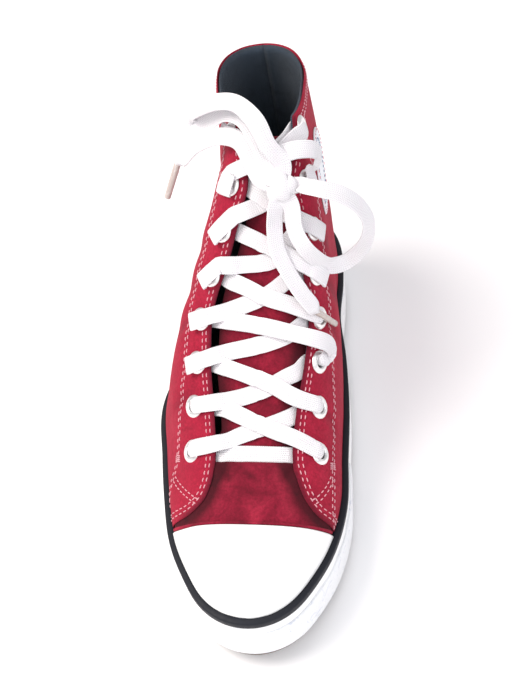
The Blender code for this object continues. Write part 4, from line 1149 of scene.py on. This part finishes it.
# Strands of the lacing between their first and last eyelets: eyelet row and signed distance from the ridge, mm;
# a third number lifts a slack strand. Side 1 starts at an inner eyelet and lies over, side -1 goes under.
lacing = [
    (0, 1, [(0.06, 26.2), (0.37, 13.7), (0.61, 1.9), (0.82, -7.7), (0.97, -15.1)]),
    (0, -1, [(0.16, -17), (0.37, -7.4), (0.54, 2), (0.7, 11.2), (0.82, 17.3)]),
    (1, 1, [(1.2, 18.1), (1.49, 7.5), (1.75, -6), (1.92, -17)]),
    (1, -1, [(1.11, -17.7), (1.25, -5.6), (1.42, 3.7), (1.67, 13), (1.81, 19.7)]),
    (2, 1, [(2.18, 34.5, 2.2), (2.38, 30.8, 3.4), (2.59, 20.7, 2.6), (2.74, 9.7, 1), (2.87, -2.3),
            (2.97, -17)]),
    (2, -1, [(2.23, -16.2), (2.41, 0.5), (2.6, 12.1), (2.85, 20.5)]),
    (3, 1, [(3.31, 13.8), (3.49, 2.3), (3.73, -8), (3.92, -17.2)]),
    (3, -1, [(3.2, -14.7), (3.37, -5.2), (3.53, 2.2), (3.84, 10.8), (4.03, 15.3)]),
    (4, 1, [(4.43, 9.9, 0.4), (4.67, 0.2), (4.89, -9.6)]),
    (4, -1, [(4.23, -19.8), (4.23, -8.7), (4.27, 0.8), (4.43, 7.5), (4.8, 12)]),
    (5, 1, [(5.2, 14), (5.5, 4), (5.75, -3)]),
    (5, -1, [(5.34, -14.2), (5.57, -3.3), (5.8, 5.2)]),
    (6, -1, [(6.23, -16.4), (6.47, -5.9, 1.2), (6.62, 1.2, 2.2), (6.85, 7.5)]),
    (6, 1, [(6.28, 18.5, 4.2), (6.55, 15.5, 7.4), (6.66, 9.5, 7.8), (6.6, 3, 7), (6.8, -4, 3)]),
]
# From the last eyelets into the knot
topStrands = {
    -1: [(6.97, -13.5, 1.7), (6.8, -8, 1.9), (6.55, -3.5, 3.2), (6.25, 1, 5.0), (6.05, 4, 6.2)],
    1: [(6.93, 13.5, 1.2), (6.72, 7.5, 1.0), (6.45, 5, 3.0), (6.1, 5, 6.0)],
}


# How a strand leaves its eyelet, taut or folded back: steps in mm along its way, off the leather and up the
# throat, and its width as a share. From some row up the strands are slack; clear is mm from the hole
strand = {
    "taut": [(0, -3.4, 0, 0.6), (0, -1.4, 0, 0.6), (0, 0.5, 0, 0.66), (0.4, 2.1, 0, 0.84), (2.0, 2.8, 0, 0.96),
             (4.4, 2.65, 0, 1.0)],
    "folded": [(0, -3.4, 0, 0.56), (0, -1.2, 0, 0.56), (-0.4, 0.8, -0.1, 0.66), (-2.4, 2.0, -0.3, 0.9),
               (-4.2, 2.7, -0.5, 1.0), (-3.7, 3.7, -0.6, 1.05), (-1.0, 3.9, -0.6, 1.05),
               (2.0, 3.6, -0.4, 1.03), (4.6, 3.1, -0.2, 1.0)],
    "slackUnder": 2, "slackOver": 4, "clear": 6.6,
}


def strandLift(row, arc, side):
    # height over the last: on the stay it leaves, down onto the tongue, and under the stay it goes to
    left, right = -edgeArc(row, -1), edgeArc(row, 1)
    own, far = (right, left) if side > 0 else (left, right)
    inside = (own - arc) * side / mm   # past the edge of its own stay, mm
    before = (arc - far) * side / mm   # still to go to the other
    rest = -0.9 if side > 0 else -2.15
    down = np.interp(inside, [-9, -2, 1.5, 6, 10], [2.3, 1.8, 1.25, rest + 0.35, rest])
    under = np.interp(before, [-5, -1.5, 1.5, 5], [-2.75, -2.6, min(-1.7, rest), rest])
    return np.where(inside < before, down, np.minimum(down, under)) * mm


def makeStrand(name, row, side, middle, seed):
    # out of its eyelet, along the listed points and in under the next eyelet of the other stay. A strand whose
    # first point is far enough in needs one more, clear of its own flange
    start, stop = eyeletArc(row, side) / mm, eyeletArc(row + 1, -side) / mm
    way = strandWay(row, side, middle[0])
    path = [*middle, (row + 1, stop + side * 5), (row + 1, stop)]
    if abs(middle[0][1]) <= abs(start) - 9:
        clear = strand["clear"]
        path.insert(0, (row + clear * way[0] * mm / last["eyeletPitch"], start + clear * way[1]))
    values = flatCurve(path, 34)
    rows, arcs, extra = values[:, 0] / last["eyeletPitch"], values[:, 1], values[:, 2]
    route, normal = onLast(rowRidge(rows), arcs, strandLift(rows, arcs, side) + extra)
    slack = row >= (strand["slackUnder"] if side < 0 else strand["slackOver"])
    return laceFromEyelet(name, row, side, way, slack, route, normal, seed)


def strandWay(row, side, first):
    # direction up the throat and across in which a strand leaves its eyelet
    away = np.array([first[0] - row, first[1] - eyeletArc(row, side) / mm])
    return unit(away * [last["eyeletPitch"] / mm, 1])


def laceFromEyelet(name, row, side, way, slack, route, normal, seed):
    # the steps out of an eyelet, and the route after them at full width
    eye, facing, width = throughEyelet(row, side, way, slack)
    return ribbon(name, np.concatenate([eye, route]), np.concatenate([facing, normal]),
                  np.concatenate([width, np.ones(len(route))]), seed=seed)[0]


def throughEyelet(row, side, way, slack):
    # up out of the hole and over its lip the way the strand goes; a slack lace first folds back over the
    # flange. The flat faces a quarter turn from the path
    table = np.array(strand["folded" if slack else "taut"])
    steps, width = table[:, :3] * mm, table[:, 3]
    start = eyeletArc(row, side)

    def along(distance, down=0.0):
        # ridge and arc a distance along the way, and a distance down the ridge
        return rowRidge(row + (distance * way[0] + down) / last["eyeletPitch"]), start + distance * way[1]
    eye, axis = onLast(*along(steps[:, 0], steps[:, 2]), steps[:, 1])
    back = unit(onLast(*along(-1 * mm))[0] - onLast(*along(1 * mm))[0])
    turn = unit(np.gradient(steps[:, :2], axis=0))
    return eye, back * turn[:, 1:] + axis * turn[:, :1], width


def makeLacing():
    # the crossings, the lowest bar under both stays, and the top strands from the last eyelets into the knot
    for number, (row, side, middle) in enumerate(lacing):
        name = f"lace_strand_{'inner' if side > 0 else 'outer'}_{row + 1}"
        piece = makeStrand(name, row, side, middle, number)
        if side > 0:
            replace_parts(piece, f"lace_crossing_{row + 1}")
    arcs = np.linspace(eyeletArc(0, -1), eyeletArc(0, 1), 30)
    inside = np.minimum(arcs + edgeArc(0, -1), edgeArc(0, 1) - arcs) / mm
    lift = np.interp(inside, [-4, -1, 2, 6], [-2.7, -2.5, -2.2, -2.05]) * mm
    route, normal = onLast(rowRidge(-0.06 + 0 * arcs), arcs, lift)
    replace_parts(ribbon("lace_lowest_bar", route, normal, seed=40)[0], "lace_bar")
    for side, name in sides:
        rows, arcs, lifts = np.array(topStrands[side]).T
        route, normal = onLast(rowRidge(rows), arcs * mm, lifts * mm)
        piece = laceFromEyelet(f"lace_top_strand_{name}", 7, side, strandWay(7, side, topStrands[side][0]),
                               side < 0, route, normal, 50 + side)
        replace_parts(piece, f"lace_top_{name}")


makeSole()
makeToeCap()
print("sole and toe cap made")
makeEyelets()
makeLacing()
print("lacing made")


stitching = {
    "pitch": 3.2 * mm, "length": 2.25 * mm, "radius": 0.29 * mm, "along": 7, "around": 6,
    "rows": (2.4 * mm, 4.4 * mm), "clear": 6.2 * mm, "pair": 0.85 * mm, "linkPair": 1.0 * mm,
    "collar": (3.2 * mm, 6.0 * mm), "tackWidth": 2.6, "tackPitch": 0.038, "lift": 0.7 * mm,
}
# Long double seam down each quarter, to the rubber: (eyelet row, distance from the ridge in mm)
longSeams = {
    -1: [(7.33, 28), (6, 28), (5, 30), (4, 34), (3, 37), (1.75, 38.6), (1.1, 40.8), (0.42, 42.9), (-0.12, 44.2),
         (-0.51, 47.9), (-1.05, 52), (-1.36, 56)],
    1: [(7.33, 28.5), (7, 27.5), (6, 28), (5, 31), (4, 35), (3, 39), (1.76, 42.9), (1.08, 43.6), (0.42, 43.2),
        (-0.22, 39.8), (-0.64, 39), (-1.16, 38.6), (-1.45, 42)],
}
# Seam that links it to the stay's tip, and the bar tack that holds the two where they meet
links = {-1: [(-0.5, 46.5), (-0.72, 40), (-0.98, 31.5), (-1.12, 26.5)],
         1: [(-0.45, 38.5), (-0.7, 34.5), (-0.95, 29.5), (-1.1, 25.5)]}
tacks = {-1: (-0.12, 44.2), 1: (-0.22, 39.8)}


def stitchRow(points, normal, pitch=stitching["pitch"], length=stitching["length"], radius=stitching["radius"],
              start=0.5):
    # thread segments at even spacing, each fattest in the middle with both ends sunk into the leather
    run = runOf(points)
    at = np.arange(pitch * start, run[-1] - length * 0.4, pitch)
    centre, up = (np.column_stack([np.interp(at, run, c) for c in v.T]) for v in (points, normal))
    along = unit(np.column_stack([np.interp(at + 0.5 * mm, run, c) - np.interp(at - 0.5 * mm, run, c)
                                  for c in points.T]))
    aside = np.cross(along, up)
    x = np.linspace(-1, 1, stitching["along"])
    turn = fullTurn(stitching["around"])
    thick = radius * np.sqrt(1 - np.abs(x) ** 3)
    high = 0.16 * mm - 0.42 * mm * x ** 4
    spine = centre[:, None] + along[:, None] * (x * length / 2)[:, None] + up[:, None] * high[:, None]
    hoop = aside[:, None] * np.cos(turn)[:, None] + up[:, None] * np.sin(turn)[:, None]
    return (spine[:, :, None] + hoop[:, None] * thick[:, None, None]).reshape(len(at), -1, 3)


def sewn(name, rows, material=seamThread, keepOff=None):
    # one piece from many stitches, leaving out any that would lie on an eyelet
    stitches = np.concatenate([row for row in rows if len(row)])
    if keepOff is not None:
        gap = np.linalg.norm(stitches.mean(axis=1)[:, None] - keepOff[None], axis=-1).min(1)
        stitches = stitches[gap > stitching["clear"]]
    along, around, count = stitching["along"], stitching["around"], stitches.shape[1]
    faces = gridFaces(along, around, wrap=True)[None] + count * np.arange(len(stitches))[:, None, None]
    uv = np.stack(np.meshgrid(np.arange(along) * 0.035, np.arange(around) * 0.03, indexing="ij"), axis=-1)
    uv = np.broadcast_to(uv.reshape(count, 2), (len(stitches), count, 2))
    return newPiece(name, stitches, faces.reshape(-1, 4), material, uv, joined=0.001 * mm)


def seamLine(route, side, shift=0.0):
    # smooth line through (row, distance) points, moved aside on the leather by the shift
    values = flatCurve(route, 160)
    along = unit(np.gradient(values[:, :2], axis=0))
    flat = values[:, :2] + shift * np.stack([-along[:, 1], along[:, 0]], axis=-1)
    ridge = rowRidge(flat[:, 0] / last["eyeletPitch"])
    inside = (ridge < last["collarFront"] - 2 * mm) & (flat[:, 1] < lineLength(ridge, side) - 1 * mm)
    return quarterSkin(ridge[inside], side * flat[inside, 1], stitching["lift"])


def collarLine(drop, side):
    # a line this far below the collar: the ridge station is moved back by the drop over the slope between lines
    top = last["collarFront"]
    arc = np.linspace(np.interp(top - drop, *edgeCurve(side)) + 2.5 * mm, lineLength(top, side) - 11 * mm, 150)
    rim = lastPoint(np.full(150, top), side * arc)
    down = lastPoint(np.full(150, top - 1 * mm), side * arc) - rim
    aside = unit(np.gradient(rim, axis=0))
    slope = np.linalg.norm(down - aside * (down * aside).sum(1)[:, None], axis=1) / mm
    return quarterSkin(top - drop / slope, side * arc, stitching["lift"])


def makeSeams():
    # on each side the rows beside the stay, the long seam, its link, the bar tack and the rows below the collar
    for side, name in sides:
        rows = [stitchRow(*seamLine(upper[side], side, shift), start=0.3 + 0.4 * i)
                for i, shift in enumerate(stitching["rows"])]
        for route, apart, step in ((longSeams[side], stitching["pair"], 0.2),
                                   (links[side], stitching["linkPair"], 0)):
            rows += [stitchRow(*seamLine(route, side, s * apart), start=0.5 + step * s) for s in (-1, 1)]
        row, arc = tacks[side]
        wide = stitching["tackWidth"]
        for k in range(-2, 2):
            r = row + k * stitching["tackPitch"]
            rows.append(stitchRow(*seamLine([(r, arc - wide), (r + 0.012, arc), (r, arc + wide)], side),
                                  pitch=wide * mm, length=2.9 * mm))
        rows += [stitchRow(*collarLine(drop, side)) for drop in stitching["collar"]]
        eyes = np.array([eyeletFrame(row, side)[0] for row in range(eyelet["rows"])])
        sewn("seam_stitches_" + name, rows, keepOff=eyes)
    arc = np.linspace(-20, 24, 80) * mm
    sewn("tongue_stitches", [stitchRow(*onLast(158.5 * mm - 0.004 / mm * arc ** 2, arc, -3.1 * mm))])


heel = {"half": 10.5 * mm, "foot": 24 * mm, "lift": (0.75 * mm, 1.75 * mm), "seamColumns": (5, 12, 48, 55)}


def heelSkin(across, height):
    # the point at a level distance round the back seam, and at a height, for a grid of rows at one height each
    turn = np.linspace(0, 0.75, 60)
    station = backStation(height[:, 0])[:, None] - last["length"] * (1 - np.cos(turn)) / 2
    level = np.broadcast_to(height[:, :1], station.shape)
    found = np.empty(across.shape + (3,))
    for side in (-1, 1):
        line = place(np.stack([sideX(station, level, side), station, level], axis=-1))
        run = runOf(line, 1)
        for k in range(len(height)):
            pick = (across[k] >= 0) if side > 0 else (across[k] < 0)
            found[k, pick] = np.column_stack([np.interp(np.abs(across[k, pick]), run[k], c) for c in line[k].T])
    return found


def makeHeelStrip():
    # suede strip over the back seam from the rubber to the collar, sewn down both edges
    height = np.linspace(heel["foot"], last["collarBack"] - 0.9 * mm, 120)[:, None]
    across = np.linspace(-1, 1, 61)[None] * heel["half"] + 0 * height
    points = heelSkin(across, height + 0 * across)
    normal = unit(np.cross(np.gradient(points, axis=1), np.gradient(points, axis=0)))
    normal *= np.sign(normal[60, 30, 1])  # backwards
    low, high = heel["lift"]
    spine = standOut(points + normal * (low + high) / 2, pressed["meets"] + 0.4 * mm, pressed["quarter"])
    slab("heel_strip", (spine, normal), (high - low) / 2, quarterSuede, rim=0.6 * mm)
    sewn("heel_stitches", [stitchRow(spine[4:-3, j] + normal[4:-3, j] * 0.5 * mm, normal[4:-3, j])
                           for j in heel["seamColumns"]])


# Section of the patch from its middle out: share of the radius, and height over its back face in mm
patch = {
    "row": 6.0, "arc": 62 * mm, "radius": 21 * mm, "thickness": 1.2 * mm, "lift": 0.9 * mm,
    "section": [(0, 0.55), (0.15, 0.55), (0.3, 0.55), (0.45, 0.55), (0.6, 0.55), (0.72, 0.55), (0.78, 0.6),
                (0.83, 0.95), (0.88, 1.0), (0.93, 0.95), (0.965, 0.9), (0.985, 0.75), (1.0, 0.45), (1.0, 0.0)],
    # sewn rings: share of the radius, height and pitch in mm, thread
    "rings": {"rim": (0.955, 0.85, 2.9, seamThread), "ring": (0.75, 0.55, 2.4, patchThread)},
}


def makeAnklePatch():
    # plain round patch on the inner ankle, with a raised rim and a sewn ring, bare inside
    centre = np.array([rowRidge(patch["row"]), patch["arc"]])
    origin, axis = onLast(centre[0], centre[1], 0)
    first = onLast(centre[0] + 1 * mm, centre[1])[0] - origin
    first = unit(first - axis * first.dot(axis))
    second = np.cross(axis, first)

    def wrapOn(x, y, lift):
        # the point of the last that lies over (x, y) of the plane touching it at the centre, by Newton's steps
        at = np.broadcast_to(centre, x.shape + (2,)).copy()
        for _ in range(8):
            base = lastPoint(at[..., 0], at[..., 1])
            d = 0.3 * mm
            dr = (lastPoint(at[..., 0] + d, at[..., 1]) - base) / d
            da = (lastPoint(at[..., 0], at[..., 1] + d) - base) / d
            miss = np.stack([x - (base - origin) @ first, y - (base - origin) @ second], axis=-1)
            a, b, c, e = dr @ first, da @ first, dr @ second, da @ second
            det = a * e - b * c
            at[..., 0] += (e * miss[..., 0] - b * miss[..., 1]) / det
            at[..., 1] += (a * miss[..., 1] - c * miss[..., 0]) / det
        return onLast(at[..., 0], at[..., 1], lift + creaseLift(at[..., 0], at[..., 1]))

    def circle(share, turn, high):
        # points at a share of the radius and at turns, raised from the last
        x, y = (patch["radius"] * share * way(turn) for way in (np.cos, np.sin))
        return x, y, wrapOn(x, y, np.broadcast_to(high * mm + patch["lift"], x.shape))
    share, high = np.array(patch["section"]).T
    x, y, (top, normal) = circle(share[:, None], fullTurn(96), high[:, None])
    points = np.concatenate([top, top[:1] - normal[:1] * patch["thickness"]])
    uv = np.stack([np.concatenate([v, v[:1]]) for v in (x, y)], axis=-1) * mapScale
    newPiece("ankle_patch", points, gridFaces(len(points), 96, wrap=True), patchRubber, uv)
    for name, (share, high, pitch, material) in patch["rings"].items():
        line = circle(share, np.linspace(0, 2 * math.pi, 200), high)[2]
        row = stitchRow(*line, pitch=pitch * mm, length=pitch * 0.72 * mm, radius=0.32 * mm)
        sewn("patch_stitches_" + name, [row], material)


makeSeams()
makeHeelStrip()
makeAnklePatch()
print("seams, heel strip and ankle patch made")


# Soft round lamps: place, size, power and tint
studio = {
    "floor": 6.0, "sky": 0.63, "aim": (0, 0, 0.06),
    "lamps": {
        "key": ((-0.75, -0.15, 1.25), 0.9, 17.6, "#fff8f2"),
        "fill": ((0.9, -0.6, 0.9), 1.2, 6.2, "#f4f7ff"),
        "front": ((-0.1, -1.2, 0.9), 1.0, 5, "#ffffff"),
    },
}


def makeStudio():
    # plain pale floor, one large soft light high on the outer side, two fills and a pale sky
    floor = bpy.data.meshes.new("floor")
    half, down = studio["floor"], -0.2 * mm
    floor.from_pydata([(-half, -half, down), (half, -half, down), (half, half, down), (-half, half, down)], [],
                      [(0, 1, 2, 3)])
    look, tree, shader, where = newMaterial("pale_painted_board", {"Roughness": 0.6, "Specular IOR Level": 0.2})
    cloud = addNode(tree, "TexNoise", {"Vector": where, "Scale": 7.0, "Detail": 3.0})
    fillInputs(tree, shader, {
        "Base Color": addNode(tree, "Mix", {0: cloud, 6: colour("#fbfafa"), 7: colour("#f4f3f4")},
                              data_type="RGBA")})
    floor.materials.append(look)
    addObject("floor", floor)
    for name, (spot, size, power, tint) in studio["lamps"].items():
        light = bpy.data.lights.new(name, "AREA")
        light.shape, light.size, light.energy, light.color = "DISK", size, power, colour(tint)[:3]
        addObject(name, light).matrix_world = lookFrom(spot, studio["aim"])
    world = bpy.data.worlds.new("pale_room")
    world.use_nodes = True
    sky = world.node_tree.nodes["Background"].inputs
    sky["Color"].default_value, sky["Strength"].default_value = colour("#fdfdff"), studio["sky"]
    bpy.context.scene.world = world
    bpy.context.scene.view_settings.view_transform = "Standard"


makeStudio()
